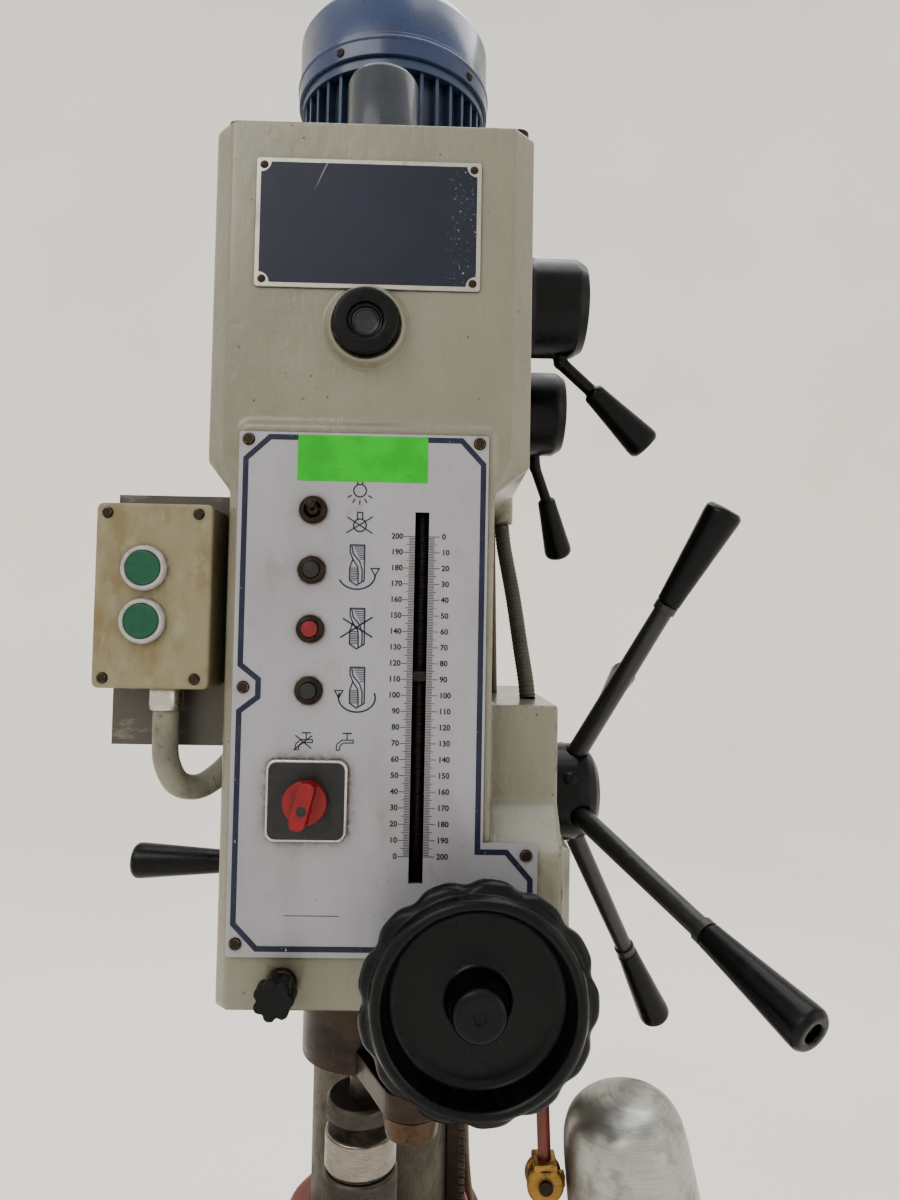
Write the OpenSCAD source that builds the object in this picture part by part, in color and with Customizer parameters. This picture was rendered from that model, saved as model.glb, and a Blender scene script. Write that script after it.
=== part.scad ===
// Bench-standing geared-head drilling machine with a rack-fed quill.
// Origin: column axis at the underside of the base. +X right, +Y back, +Z up.

/* [Frame] */
// Distance from the column axis to the spindle axis
throat = 257; // [257:1:257]
// Column diameter
column_d = 140; // [140:1:140]
// Height of the column's top
column_top = 1176; // [1170:1:1180]
// Height of the head's underside
head_bottom = 764; // [764:1:764]
// Height of the head's top face
head_top = 1332; // [1332:1:1332]
// Front plane of the head's lower face, on Y
face_y = -355; // [-355:1:-355]

/* [Base] */
// Width of the base
base_w = 300; // [290:1:330]
// Height of the base
base_h = 85; // [80:1:90]
// Front edge of the base, on Y
base_front = -385; // [-400:1:-370]
// Back edge of the base, on Y
base_back = 158; // [156:1:160]
// Radius of the anchor holes
anchor_r = 7; // [6:0.5:8]

/* [Table] */
// Height of the table's working face
table_top = 370; // [370:1:370]
// Width of the table
table_w = 310; // [300:1:312]
// Depth of the table
table_d = 294; // [280:1:294]
// Radius of the hole through the table
table_bore_r = 16; // [12:1:18]
// Radius of the bracket's hub
hub_r = 96; // [94:1:97]

/* [Spindle] */
// Quill radius
quill_r = 44; // [44:1:44]
// Height of the quill's lower face
quill_bottom = 696; // [696:1:696]
// Quill length
quill_len = 300; // [300:1:300]
// Radius of the chuck's sleeve
chuck_r = 26.9; // [25:0.1:28]
// Length of the depth scale's slot
slot_len = 232; // [232:1:232]

/* [Capstan] */
// Number of feed arms
arm_count = 4; // [3:1:6]
// Angle of the first arm about +X, from +Y
arm_angle = 111.4; // [0:0.1:180]
// Outward tilt of the arms
arm_tilt = 24.8; // [20:0.1:26]
// Distance from the hub's centre to a grip's start
grip_start = 182; // [170:1:185]
// Distance from the hub's centre to a grip's end
grip_end = 265; // [255:1:266]
// Radius of a grip's end
grip_r = 14; // [12:0.5:14]

/* [Handwheel] */
// Handwheel radius over the lobes
wheel_r = 66; // [60:1:67]
// Number of lobes on the rim
lobe_count = 13; // [8:1:16]

/* [Motor] */
// Radius over the motor's fins
motor_r = 82; // [80:1:84]
// Number of cooling fins
fin_count = 36; // [24:1:44]
// Height of the fan cowl's top
cowl_top = 1583; // [1575:1:1590]

/* [Hidden] */
$fn = 64;

paint = [0.70, 0.69, 0.60];
black = [0.06, 0.06, 0.07];
steel = [0.62, 0.62, 0.62];
dark_steel = [0.30, 0.28, 0.27];
motor_blue = [0.13, 0.20, 0.38];
bracket_red = [0.62, 0.10, 0.09];

spindle_y = -throat;
column_r = column_d / 2;
fit = 0.05;
gap = 0.3;
tooth_fill = 0.80;

// Head outline
head_left = -86.5;
head_right = 84;
upper_left = -103.5;
upper_right = 108;
upper_face_y = -352;
upper_back_y = -18;
ledge_low = 1089;
ledge_high = 1109;
corner = 8;
upper_corner = 14;
feed_right = 131;
foot_right = 138;
foot_top = 861;
feed_top = 952;
feed_front = -325;
feed_back = -125;
barrel_r = 98;
barrel_bottom = 790;
clamp_screw_zs = [850, 1010, 1150];
cover_inset = 5;
cover_z = 1317;
boss_t = 6;
sight_z = 1195;
conduit_start = 1088;
cover_screws = [for (x = [-90, 98], y = [-334, -185, -40]) [x, y]];

// Gear chamber inside the head
chamber_floor = 1106;
chamber_low = 1092;
chamber_left = -74;
chamber_right = 93;
chamber_front = -320;
chamber_back = -76;

// Gear train: motor, countershaft and spindle axes
gear_m = 2.5;
motor_y = -128.5;
cowl_r = 86;
counter_x = 38.7;
counter_y = -192.75;
low_gear_z = 1200;
high_gear_z = 1262;
gear_h = 24;

// Quill feed
pinion_y = -193;
pinion_z = 870.5;
pinion_teeth = 18;
rack_m = 2.5;
rack_pitch = PI * rack_m;
quill_pitch_y = spindle_y + quill_r - rack_m;
quill_teeth_low = 795;
bearing_r = 34;
spindle_r = 18;
shaft_r = 12;
hub_x = 148.5;

// Fine feed worm
worm_x = 74;
worm_z = 797;
worm_r = 16;
wheel_teeth = 46;

// Depth rod and its scale
rod_x = 38;
rod_y = -338;
rod_r = 7;
pointer_z = 972;
arm_top = 713;
slot_low = 843.5;
slot_half = 4.35;

// Controls on the front panel
panel_t = 2;
panel_low = 797.5;
panel_high = 1125;
panel_left = -78.5;
panel_right = 79.6;
panel_step = 114;
panel_step_z = 869;
panel_screws = [[-72.6, 1120], [73.7, 1120], [-71.9, 963.5], [106.8, 861.4], [-72.4, 805.5], [106.8, 805.5]];
button_x = -30.9;
button_zs = [1075.6, 1037.6, 1000.5, 962];
switch_x = -30.3;
switch_z = 894.3;
clamp_x = -102;
clamp_y = -200;
clamp_z = 811;
lock_x = -43.8;
lock_z = 781.5;

// Push-button station
station_left = -169.4;
station_right = -95.6;
station_low = 960.8;
station_high = 1078.9;
station_face = -350;
plate_y = -312;
station_x = -137.8;
station_button_zs = [1037.2, 1003.6];
station_screws = [for (x = [station_left + 7, station_right - 9], z = [station_low + 6.5, station_high - 6.5])
  [x, z]];

// Gear change levers: [Y, Z] of each drum
upper_drum = [-250, 1252];
lower_drum = [-150, 1197];
drum_r = 36.5;

// Elevating drive of the table
rack_outer_x = 89;
lift_pinion_x = 104;
lift_pinion_z = 339;
lift_teeth = 14;
lift_wheel_teeth = 20;
lift_wheel_m = 2;
lift_worm_r = 10;
lift_worm_y = 22;
lift_worm_z = lift_pinion_z - lift_wheel_m * lift_wheel_teeth / 2 - lift_worm_r;
hub_low = 279;
hub_high = 399;
rack_low = 190;
rack_high = 735;
junction_top = 147;

// Work lamp
lamp_x = 124;
lamp_y = -300;
knuckle_x = 129;
knuckle_z = 628;
shade_x = 179;
shade_top = 686;
shade_tilt = -9;

// Routes of the conduits and cables
station_route = [[-128, -330, 946], [-128, -330, 930], [-127, -329, 912], [-121, -323, 897],
  [-110, -312, 893], [-98, -302, 901], [-88, -292, 914]];
motor_route = [[100, -215, conduit_start], [102, -220, 1068], [108, -235, 1030], [113, -250, 990],
  [116, -262, 965], [117, -266, feed_top]];
lamp_wire_route = [[93, -204, 1094], [94, -206, 1050], [95, -210, 1000], [96, -214, feed_top]];
cable_a = [[60, 68, barrel_bottom], [62, 72, 740], [64, 78, 660], [63, 84, 560], [62, 86, 480],
  [66, 86, 425], [86, 88, 380], [110, 90, 330], [126, 94, 270], [130, 92, 200], [128, 90, junction_top]];
cable_b = [[42, 80, barrel_bottom], [43, 82, 740], [47, 90, 650], [52, 95, 550], [58, 98, 470],
  [68, 100, 400], [84, 102, 350], [100, 100, 300], [110, 94, 230], [112, 89, junction_top]];
cable_c = [[74, 52, barrel_bottom], [78, 58, 740], [84, 64, 650], [88, 68, 560], [91, 72, 470],
  [94, 74, 400], [101, 74, 340], [110, 72, 280], [118, 70, 210], [120, 69, junction_top]];

module box(x0, x1, y0, y1, z0, z1) {
  translate([x0, y0, z0]) cube([x1 - x0, y1 - y0, z1 - z0]);
}

module xcyl(x0, x1, y, z, r, r2 = -1) {
  translate([x0, y, z]) rotate([0, 90, 0]) cylinder(h = x1 - x0, r1 = r, r2 = r2 < 0 ? r : r2);
}

module ycyl(y0, y1, x, z, r, r2 = -1) {
  translate([x, y0, z]) rotate([-90, 0, 0]) cylinder(h = y1 - y0, r1 = r, r2 = r2 < 0 ? r : r2);
}

module zcyl(z0, z1, x, y, r, r2 = -1) {
  translate([x, y, z0]) cylinder(h = z1 - z0, r1 = r, r2 = r2 < 0 ? r : r2);
}

// Rounded rectangle in the XY plane
module plate(x0, x1, y0, y1, r) {
  translate([x0 + r, y0]) square([x1 - x0 - 2 * r, y1 - y0]);
  translate([x0, y0 + r]) square([x1 - x0, y1 - y0 - 2 * r]);
  for (x = [x0 + r, x1 - r], y = [y0 + r, y1 - r]) translate([x, y]) circle(r = r);
}

// Draws a flat shape given in X and Z, from y0 to y1
module facing(y0, y1) {
  translate([0, y1, 0]) rotate([90, 0, 0]) linear_extrude(y1 - y0) children();
}

// Draws a flat shape given in Y and Z, from x0 to x1
module sideways(x0, x1) {
  translate([x0, 0, 0]) rotate([90, 0, 90]) linear_extrude(x1 - x0) children();
}

// Spur gear with straight-sided teeth, thinned for backlash
module spur(m, teeth, h, phase = 0) {
  tip = m * (teeth + 2) / 2;
  root = m * (teeth - 2.5) / 2;
  half = tooth_fill * 90 / teeth;
  linear_extrude(h) polygon([for (i = [0:teeth - 1], k = [0:3])
    let (a = phase + i * 360 / teeth + [-1.3, -0.5, 0.5, 1.3][k] * half,
         r = (k == 0 || k == 3) ? root : tip)
    [r * cos(a), r * sin(a)]]);
}

// Rack strip: the teeth face +X, along +Y, with a tooth centred at each multiple of the pitch
module rack_strip(m, first, last, depth, h) {
  p = PI * m;
  s = tooth_fill * p / 4;
  linear_extrude(h) polygon(concat([[-depth, first * p - p / 2]],
    [for (i = [first:last], k = [0:3])
      [(k == 0 || k == 3) ? -1.25 * m : m, i * p + [-1.45, -0.6, 0.6, 1.45][k] * s]],
    [[-depth, last * p + p / 2]]));
}

// Frame of a swept tube at point i
function unit(v) = v / norm(v);
function heading(p, i) = unit(p[min(i + 1, len(p) - 1)] - p[max(i - 1, 0)]);
function across(t) = unit(cross(t, abs(t[1]) < 0.9 ? [0, 1, 0] : [1, 0, 0]));

// Points on a smooth curve through the route's points
function spline(a, b, c, d, t) = 0.5 * ((2 * b) + (c - a) * t + (2 * a - 5 * b + 4 * c - d) * t * t
  + (3 * b - a - 3 * c + d) * t * t * t);
function smooth_route(p, n) = concat([for (i = [0:len(p) - 2], k = [0:n - 1])
  spline(p[max(i - 1, 0)], p[i], p[i + 1], p[min(i + 2, len(p) - 1)], k / n)], [p[len(p) - 1]]);

module tube(route, r, sides = 8, steps = 3) {
  p = smooth_route(route, steps);
  n = len(p);
  rings = [for (i = [0:n - 1])
    let (t = heading(p, i), u = across(t), v = cross(t, u))
    for (k = [0:sides - 1]) p[i] + r * (u * cos(k * 360 / sides) + v * sin(k * 360 / sides))];
  polyhedron(points = rings, faces = concat(
    [[for (k = [0:sides - 1]) k]],
    [[for (k = [sides - 1:-1:0]) (n - 1) * sides + k]],
    [for (i = [0:n - 2], k = [0:sides - 1])
      [i * sides + k, (i + 1) * sides + k, (i + 1) * sides + (k + 1) % sides, i * sides + (k + 1) % sides]]),
    convexity = 6);
}

// Tapered hand grip along +Z, thick end up, with a socket in its end
module grip(len, r0, r1) {
  rotate_extrude() difference() {
    polygon([[0, 0], [r0 - 1, 0], [r0, 2], [r0, 5], [r0 + 0.45 * (r1 - r0), len * 0.45],
      [r1, len - 8], [r1, len - 3], [r1 - 2.5, len], [0, len]]);
    translate([0, len - 6]) square([r1 * 0.45, 10]);
  }
}

module hex_head(h, across_flats) {
  cylinder(h = h, r = across_flats / 2 / cos(30), $fn = 6);
}

// ---- Base and column ----

module base_plate() {
  color(paint) difference() {
    union() {
      linear_extrude(22) plate(-base_w / 2, base_w / 2, base_front, base_back, 30);
      translate([0, 0, 22]) linear_extrude(base_h - 22)
        plate(-base_w / 2 + 12, base_w / 2 - 12, base_front + 12, base_back - 6, 24);
    }
    for (x = [-125, 125], y = [-355, 125]) {
      zcyl(-1, base_h + 1, x, y, anchor_r);
      zcyl(22, base_h + 1, x, y, 20);
    }
    for (x = [-70, 70]) {
      box(x - 7, x + 7, base_front - 1, -140, base_h - 22, base_h + 1);
      box(x - 12, x + 12, base_front - 1, -140, base_h - 22, base_h - 12);
    }
    for (a = [45:90:315]) rotate([0, 0, a]) zcyl(55, base_h + 1, 103, 0, 6 + fit);
  }
}

module column_flange() {
  color(paint) difference() {
    rotate_extrude() polygon([[column_r + fit, base_h], [117, base_h], [117, base_h + 22],
      [112, base_h + 27], [92, base_h + 30], [86, base_h + 80], [column_r + fit, base_h + 80]]);
    for (a = [45:90:315]) rotate([0, 0, a]) {
      zcyl(base_h - 1, base_h + 60, 103, 0, 6 + fit);
      zcyl(base_h + 22, base_h + 60, 103, 0, 11);
    }
  }
}

// Screws of the flange, the gearbox cover, the head clamp, the motor, the panel and the station
module fasteners() {
  color(dark_steel) {
    for (a = [45:90:315]) rotate([0, 0, a]) translate([103, 0, 0]) {
      zcyl(56, base_h + 22, 0, 0, 6);
      translate([0, 0, base_h + 22]) hex_head(8, 17);
    }
    for (p = cover_screws) {
      zcyl(cover_z - 14, head_top, p[0], p[1], 4);
      zcyl(head_top, head_top + 5, p[0], p[1], 6.5);
    }
    for (z = clamp_screw_zs) {
      ycyl(column_r + 4, barrel_r, 0, z, 8);
      translate([0, barrel_r, z]) rotate([-90, 0, 0]) hex_head(11, 24);
    }
    for (a = [45:90:315]) translate([0, motor_y, 0]) rotate([0, 0, a]) {
      zcyl(cover_z + 3, head_top + 12, 88, 0, 4);
      zcyl(head_top + 12, head_top + 18, 88, 0, 6.5);
    }
  }
  color(steel) {
    for (p = panel_screws) cross_screw(p, face_y - panel_t, 4);
    for (p = station_screws) cross_screw(p, station_face, 3.6);
  }
}

// Domed screw head with a cross recess, its shank running back along +Y
module cross_screw(p, y, r) {
  difference() {
    union() {
      ycyl(y - 1.6, y, p[0], p[1], r - 0.8, r);
      ycyl(y, y + 9, p[0], p[1], 2);
    }
    for (a = [0, 90]) translate([p[0], y, p[1]]) rotate([0, a, 0]) cube([0.9, 2.4, 4.4], center = true);
  }
}

module column() {
  color(steel) difference() {
    zcyl(base_h, column_top, 0, 0, column_r);
    zcyl(base_h - 1, column_top + 1, 0, 0, column_r - 14);
  }
}

module rack_collars() {
  color(dark_steel) for (z = [rack_low - 22, rack_high]) difference() {
    zcyl(z, z + 22, 0, 0, 82);
    zcyl(z - 1, z + 23, 0, 0, column_r + fit);
  }
}

// ---- Head ----

module upper_plan() {
  plate(upper_left, upper_right, upper_face_y, upper_back_y, upper_corner, $fn = 4);
}

module lower_plan() {
  polygon([[head_left, face_y + corner], [head_left + corner, face_y],
    [head_right, face_y], [head_right, 20], [head_left, 20]]);
}

module head_outer() {
  translate([0, 0, head_bottom]) linear_extrude(ledge_low - head_bottom) lower_plan();
  hull() {
    translate([0, 0, ledge_low - 0.5]) linear_extrude(0.5) lower_plan();
    translate([0, 0, ledge_high]) linear_extrude(0.5) upper_plan();
  }
  translate([0, 0, ledge_high]) linear_extrude(head_top - 2 - ledge_high) upper_plan();
  zcyl(barrel_bottom, column_top + 12, 0, 0, barrel_r);
  sideways(50, feed_right) polygon([[face_y, head_bottom], [face_y, foot_top],
    [feed_front, 889], [feed_front, feed_top], [feed_back, feed_top], [feed_back, head_bottom]]);
  translate([0, 0, head_bottom]) linear_extrude(foot_top - head_bottom) polygon([[50, face_y],
    [119, face_y], [foot_right, face_y + 19], [foot_right, -266], [feed_right, -256],
    [feed_right, feed_back], [50, feed_back]]);
  facing(face_y, upper_face_y + 1) plate(head_left + corner, head_right - 1, ledge_low, 1131, 4);
  ycyl(upper_face_y - boss_t, upper_face_y + 1, 0, sight_z, 24.8);
  zcyl(conduit_start, ledge_high + 1, 100, -215, 9);
  ycyl(face_y - 17, face_y, worm_x, worm_z, 22);
  for (y = [-226, -182]) box(clamp_x - 12, head_left + 2, y, y + 8, clamp_z - 13, clamp_z + 13);
}

module head_casting() {
  color(paint) difference() {
    head_outer();
    // column bore
    zcyl(barrel_bottom - 40, column_top + 2, 0, 0, column_r + fit);
    // gear chamber and the seat of its cover
    box(chamber_left, chamber_right, chamber_front, chamber_back, chamber_floor, head_top + 1);
    translate([0, 0, cover_z]) linear_extrude(20)
      plate(upper_left + cover_inset, upper_right - cover_inset,
            upper_face_y + cover_inset, upper_back_y - cover_inset, 10);
    // quill bore and the seat of the drive sleeve's bearing
    zcyl(head_bottom - 1, 1085, 0, spindle_y, quill_r + fit);
    zcyl(1080, chamber_low, 0, spindle_y, 24);
    zcyl(chamber_low, chamber_floor + 1, 0, spindle_y, 30 + fit);
    zcyl(chamber_floor - 8.5, chamber_floor + 1, counter_x, counter_y, 10 + fit);
    // open pockets that lighten the casting
    box(-74, 42, -160, -84, head_bottom - 1, 1075);
    box(-75, -50, -306, -222, head_bottom - 1, 1075);
    // feed shaft, pinion and worm wheel
    box(50, 122, -262, -131, 777, 940);
    xcyl(-75, feed_right + 10, pinion_y, pinion_z, shaft_r + fit);
    box(-17, 17, -225, -165, 842, 899);
    ycyl(face_y - 20, -262, worm_x, worm_z, 10 + fit);
    ycyl(-132, feed_back - 1, worm_x, worm_z, 10 + fit);
    // spring housing seat
    xcyl(head_left - 1, -75, pinion_y, pinion_z, 18);
    // channel of the depth rod
    box(rod_x - 8.5, rod_x + 8.5, -346, -329, head_bottom - 1, 1136);
    box(rod_x - 6, rod_x + 6, face_y - 1, -345, slot_low - 6, slot_low + slot_len + 6);
    // pocket behind the controls
    box(-62, 18, face_y - 1, -314, 866, 1092);
    // sight glass
    ycyl(upper_face_y - boss_t - 1, chamber_front + 1, 0, sight_z, 12 + fit);
    // lock knob stud
    ycyl(face_y - 1, -318, lock_x, lock_z, 5 + fit);
    // clamp lever pin
    ycyl(-227, -173, clamp_x, clamp_z, 5 + fit);
    // gear lever shafts
    xcyl(chamber_right - 1, upper_right + 1, upper_drum[0], upper_drum[1], 8 + fit);
    xcyl(chamber_right - 1, upper_right + 1, lower_drum[0], lower_drum[1], 8 + fit);
    // screws
    for (p = cover_screws) zcyl(cover_z - 15, cover_z + 1, p[0], p[1], 4 + fit);
    for (z = clamp_screw_zs) ycyl(60, barrel_r + 1, 0, z, 8 + fit);
    for (p = panel_screws) ycyl(face_y - 1, face_y + 10, p[0], p[1], 2 + fit);
    // clearance round the column below the barrel
    box(-100, 100, -84, 100, head_bottom - 1, barrel_bottom);
  }
}

module gearbox_cover() {
  color(paint) difference() {
    union() {
      translate([0, 0, cover_z]) linear_extrude(head_top - cover_z)
        plate(upper_left + cover_inset + gap, upper_right - cover_inset - gap,
              upper_face_y + cover_inset + gap, upper_back_y - cover_inset - gap, 10);
      zcyl(1298, cover_z, 0, spindle_y, 38);
      zcyl(1303, cover_z, counter_x, counter_y, 18);
      translate([0, 0, head_top]) linear_extrude(4) plate(-20, 21, -336, -288, 5);
    }
    zcyl(1297, 1314, 0, spindle_y, 30 + fit);
    zcyl(1313, head_top + 5, 0, spindle_y, 22);
    zcyl(1302, 1312, counter_x, counter_y, 10 + fit);
    zcyl(cover_z - 1, head_top + 1, 0, motor_y, 32);
    for (a = [45:90:315]) translate([0, motor_y, 0]) rotate([0, 0, a])
      zcyl(cover_z + 3, head_top + 1, 88, 0, 4 + fit);
    for (p = cover_screws) zcyl(cover_z - 1, head_top + 1, p[0], p[1], 4 + fit);
    zcyl(head_top - 4, head_top + 5, 0, -322, 6 + fit);
  }
}

module front_panel() {
  color([0.72, 0.72, 0.73]) difference() {
    facing(face_y - panel_t, face_y) difference() {
      union() {
        plate(panel_left, panel_right, panel_low, panel_high, 2);
        plate(panel_right - 10, panel_step, panel_low, panel_step_z, 2);
      }
      translate([rod_x - slot_half, slot_low]) square([2 * slot_half, slot_len]);
      for (z = button_zs) translate([button_x, z]) circle(r = 6);
      translate([switch_x, switch_z]) circle(r = 12);
      translate([worm_x, worm_z]) circle(r = 24);
      for (p = panel_screws) translate(p) circle(r = 2 + fit);
    }
  }
}

module name_plate() {
  color([0.10, 0.14, 0.27]) facing(upper_face_y - 1.5, upper_face_y) plate(-73.4, 72.4, 1220, 1305, 2);
  color(steel) for (x = [-68.4, 67.4], z = [1225, 1300]) ycyl(upper_face_y - 2.7, upper_face_y - 1.5, x, z, 2, 2.6);
}

module sight_glass() {
  y = upper_face_y - boss_t;
  color(black) difference() {
    union() {
      translate([0, y, sight_z]) rotate([90, 0, 0]) rotate_extrude()
        polygon([[9, 0], [21, 0], [21, 8], [19, 10], [12.5, 10], [10.5, 6], [9, 6]]);
      ycyl(y, y + 16, 0, sight_z, 12);
    }
    ycyl(y - 1, y + 17, 0, sight_z, 9);
  }
  color([0.35, 0.28, 0.15]) ycyl(y - 5, y + 6, 0, sight_z, 9);
}

// ---- Motor ----

module motor_housing() {
  color(motor_blue) translate([0, motor_y, 0]) difference() {
    union() {
      zcyl(head_top, head_top + 12, 0, 0, 97);
      zcyl(head_top + 12, 1362, 0, 0, 74);
      zcyl(1352, 1478, 0, 0, motor_r - 8);
      for (i = [0:fin_count - 1]) rotate([0, 0, i * 360 / fin_count])
        translate([motor_r - 12, -1.5, 1366]) cube([12, 3, 104]);
      zcyl(1470, 1484, 0, 0, cowl_r - 2);
      box(-40, 40, 60, 84, 1372, 1438);
    }
    zcyl(head_top - 1, 1352, 0, 0, 16);
    zcyl(1352, 1462, 0, 0, 50 + gap);
    zcyl(1461, 1485, 0, 0, 14);
    for (a = [45:90:315]) rotate([0, 0, a]) zcyl(head_top - 1, head_top + 13, 88, 0, 4 + fit);
  }
}

module motor_cowl() {
  wall = 2;
  color(motor_blue) translate([0, motor_y, 0]) difference() {
    rotate_extrude() difference() {
      union() {
        translate([0, 1478]) square([cowl_r, 52]);
        translate([0, 1530]) intersection() {
          translate([0, -47]) circle(r = 100, $fn = 96);
          square([cowl_r, cowl_top - 1530]);
        }
      }
      union() {
        translate([-1, 1477]) square([cowl_r - wall + 1, 52]);
        translate([0, 1528]) intersection() {
          translate([0, -47]) circle(r = 98, $fn = 96);
          translate([-1, 0]) square([cowl_r - wall + 1, cowl_top - 1530]);
        }
      }
    }
    for (r = [22, 40, 58], a = [0:30:330]) rotate([0, 0, a + r])
      translate([r, -3, 1540]) cube([9, 6, 60]);
  }
}

module terminal_boxes() {
  color(black) {
    translate([0, 0, 1366]) linear_extrude(78) plate(-46, 46, motor_y + 84, 4, 5);
    zcyl(column_top + 12, 1366, 0, -8, 8);
    box(104, 136, 60, 100, base_h, junction_top);
  }
}

module spindle_cover() {
  color(dark_steel) difference() {
    union() {
      zcyl(head_top, 1340, 0, spindle_y, 30);
      zcyl(head_top, 1419, 0, spindle_y, 27);
      zcyl(1419, 1422.5, 0, spindle_y, 27, 25);
    }
    zcyl(head_top - 1, 1414, 0, spindle_y, 22);
  }
  color(dark_steel) zcyl(head_top - 4, head_top + 9, 0, -322, 6);
}

// ---- Push-button station ----

module station_plate() {
  color(steel) {
    box(-170, -89, plate_y, plate_y + 3, 920.5, 1090);
    box(-89, head_left, plate_y, -262, 920.5, ledge_low - 1);
  }
}

module station_box() {
  color([0.70, 0.66, 0.54]) difference() {
    union() {
      facing(station_face + 22, plate_y) plate(station_left, station_right, station_low, station_high, 4);
      facing(station_face, station_face + 21.4)
        plate(station_left, station_right, station_low, station_high, 4);
      facing(station_face + 21, station_face + 22.5)
        plate(station_left + 1, station_right - 1, station_low + 1, station_high - 1, 4);
    }
    box(station_left + 4, station_right - 4, station_face + 4, plate_y - 3, station_low + 12, station_high - 12);
    for (z = station_button_zs) ycyl(station_face - 1, station_face + 5, station_x, z, 11.2);
    for (p = station_screws) ycyl(station_face - 1, station_face + 9.1, p[0], p[1], 2 + fit);
  }
}

// Rings round the push-buttons, the rotary switch's plate and the lock knob's ring
module control_bezels() {
  for (z = button_zs) color(dark_steel) translate([button_x, face_y - panel_t, z]) rotate([90, 0, 0])
    rotate_extrude() polygon([[5.3, -10], [5.9, -10], [5.9, 0], [8.7, 0], [8.7, 2.4], [7.4, 4.2], [5.3, 4.2]]);
  color(black) difference() {
    facing(face_y - panel_t - 5, face_y - panel_t)
      plate(switch_x - 25.2, switch_x + 25.2, switch_z - 25.2, switch_z + 25.2, 5);
    ycyl(face_y - 10, face_y + 1, switch_x, switch_z, 7);
  }
  for (z = station_button_zs) color(steel) translate([station_x, station_face, z]) rotate([90, 0, 0])
    rotate_extrude() polygon([[11.25, 0], [14.5, 0], [14.5, 3.6], [13.2, 5], [11.25, 5]]);
  color(steel) difference() {
    ycyl(face_y - 5, face_y, lock_x, lock_z, 9.4);
    ycyl(face_y - 6, face_y + 1, lock_x, lock_z, 5 + fit);
  }
}

// ---- Conduits and cables, held at both ends ----

module conduits() {
  color([0.35, 0.34, 0.31]) {
    tube(station_route, 8.3, 10, 2);
    tube(motor_route, 6, 10, 2);
    tube(lamp_wire_route, 2.5, 8, 2);
  }
  color(dark_steel) zcyl(946, station_low, -128, -330, 10.5);
}

module base_cables() {
  color([0.33, 0.29, 0.24]) {
    tube(cable_a, 6, 8, 2);
    tube(cable_b, 6, 8, 2);
    tube(cable_c, 5, 8, 2);
  }
}

module shaft_bearings() {
  color(steel) {
    bearing_ring(0, spindle_y, chamber_low, chamber_floor, 20 + fit, 30);
    bearing_ring(0, spindle_y, 1300, 1314, 20 + fit, 30);
  }
}

module bearing_ring(x, y, z0, z1, inner, outer) {
  difference() {
    zcyl(z0, z1, x, y, outer);
    zcyl(z0 - 1, z1 + 1, x, y, inner);
    translate([x, y, 0]) for (z = [z0, z1]) rotate_extrude()
      translate([(inner + outer) / 2, z]) square([(outer - inner) * 0.4, 2.4], center = true);
  }
}

module spring_cover() {
  color(black) difference() {
    xcyl(-112, head_left, pinion_y, pinion_z, 42);
    xcyl(-108, head_left + 1, pinion_y, pinion_z, 38);
    box(-120, head_left + 1, -245, -140, 810, 831);
  }
}

module return_spring() {
  color(dark_steel) difference() {
    xcyl(-105, head_left - 2, pinion_y, pinion_z, 34);
    xcyl(-106, head_left, pinion_y, pinion_z, 14);
    for (r = [18:4:30]) sideways(-106, head_left - 1) translate([pinion_y, pinion_z]) difference() {
      circle(r = r + 1);
      circle(r = r);
      translate([r - 2, -1.5]) square([5, 3]);
    }
  }
}

// ---- Table ----

module column_rack() {
  color(dark_steel) difference() {
    translate([rack_outer_x - rack_m, 11, lift_pinion_z + rack_pitch / 2]) rotate([90, 0, 0])
      rack_strip(rack_m, -20, 52, 16.4, 22);
    box(60, 95, -12, 12, 0, rack_low + gap);
    box(60, 95, -12, 12, rack_high - gap, 900);
  }
}

module table_bracket() {
  color(bracket_red) difference() {
    union() {
      zcyl(hub_low, hub_high, 0, 0, hub_r);
      hull() {
        zcyl(hub_low, 319, 0, -55, 55);
        zcyl(hub_low, 319, 0, spindle_y, 50);
      }
      zcyl(315, 330, 0, spindle_y, 55);
      box(-9, 9, spindle_y + 20, -88, hub_low - 20, hub_low + 10);
      box(80, 142, -28, 46, 287, 369);
      box(-132, -80, -24, 24, 297, 381);
    }
    zcyl(hub_low - 30, hub_high + 1, 0, 0, column_r + 0.08);
    box(60, rack_outer_x + 0.8, -11.8, 11.8, hub_low - 30, hub_high + 1);
    zcyl(hub_low - 30, table_top - 39, 0, spindle_y, table_bore_r + 4);
    // elevating gear chamber and shafts
    ycyl(-13, 30.5, lift_pinion_x, lift_pinion_z, 24);
    ycyl(-22, 40, lift_pinion_x, lift_pinion_z, 8 + fit);
    xcyl(90, 119, lift_worm_y, lift_worm_z, 13);
    xcyl(80, 91, lift_worm_y, lift_worm_z, 7.4 + fit);
    xcyl(118, 143, lift_worm_y, lift_worm_z, 8 + fit);
    // clamp split and its screw
    box(-140, -60, -2.5, 2.5, hub_low - 1, hub_high + 1);
    ycyl(-25, 25, -114, 339, 6 + fit);
  }
}

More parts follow.
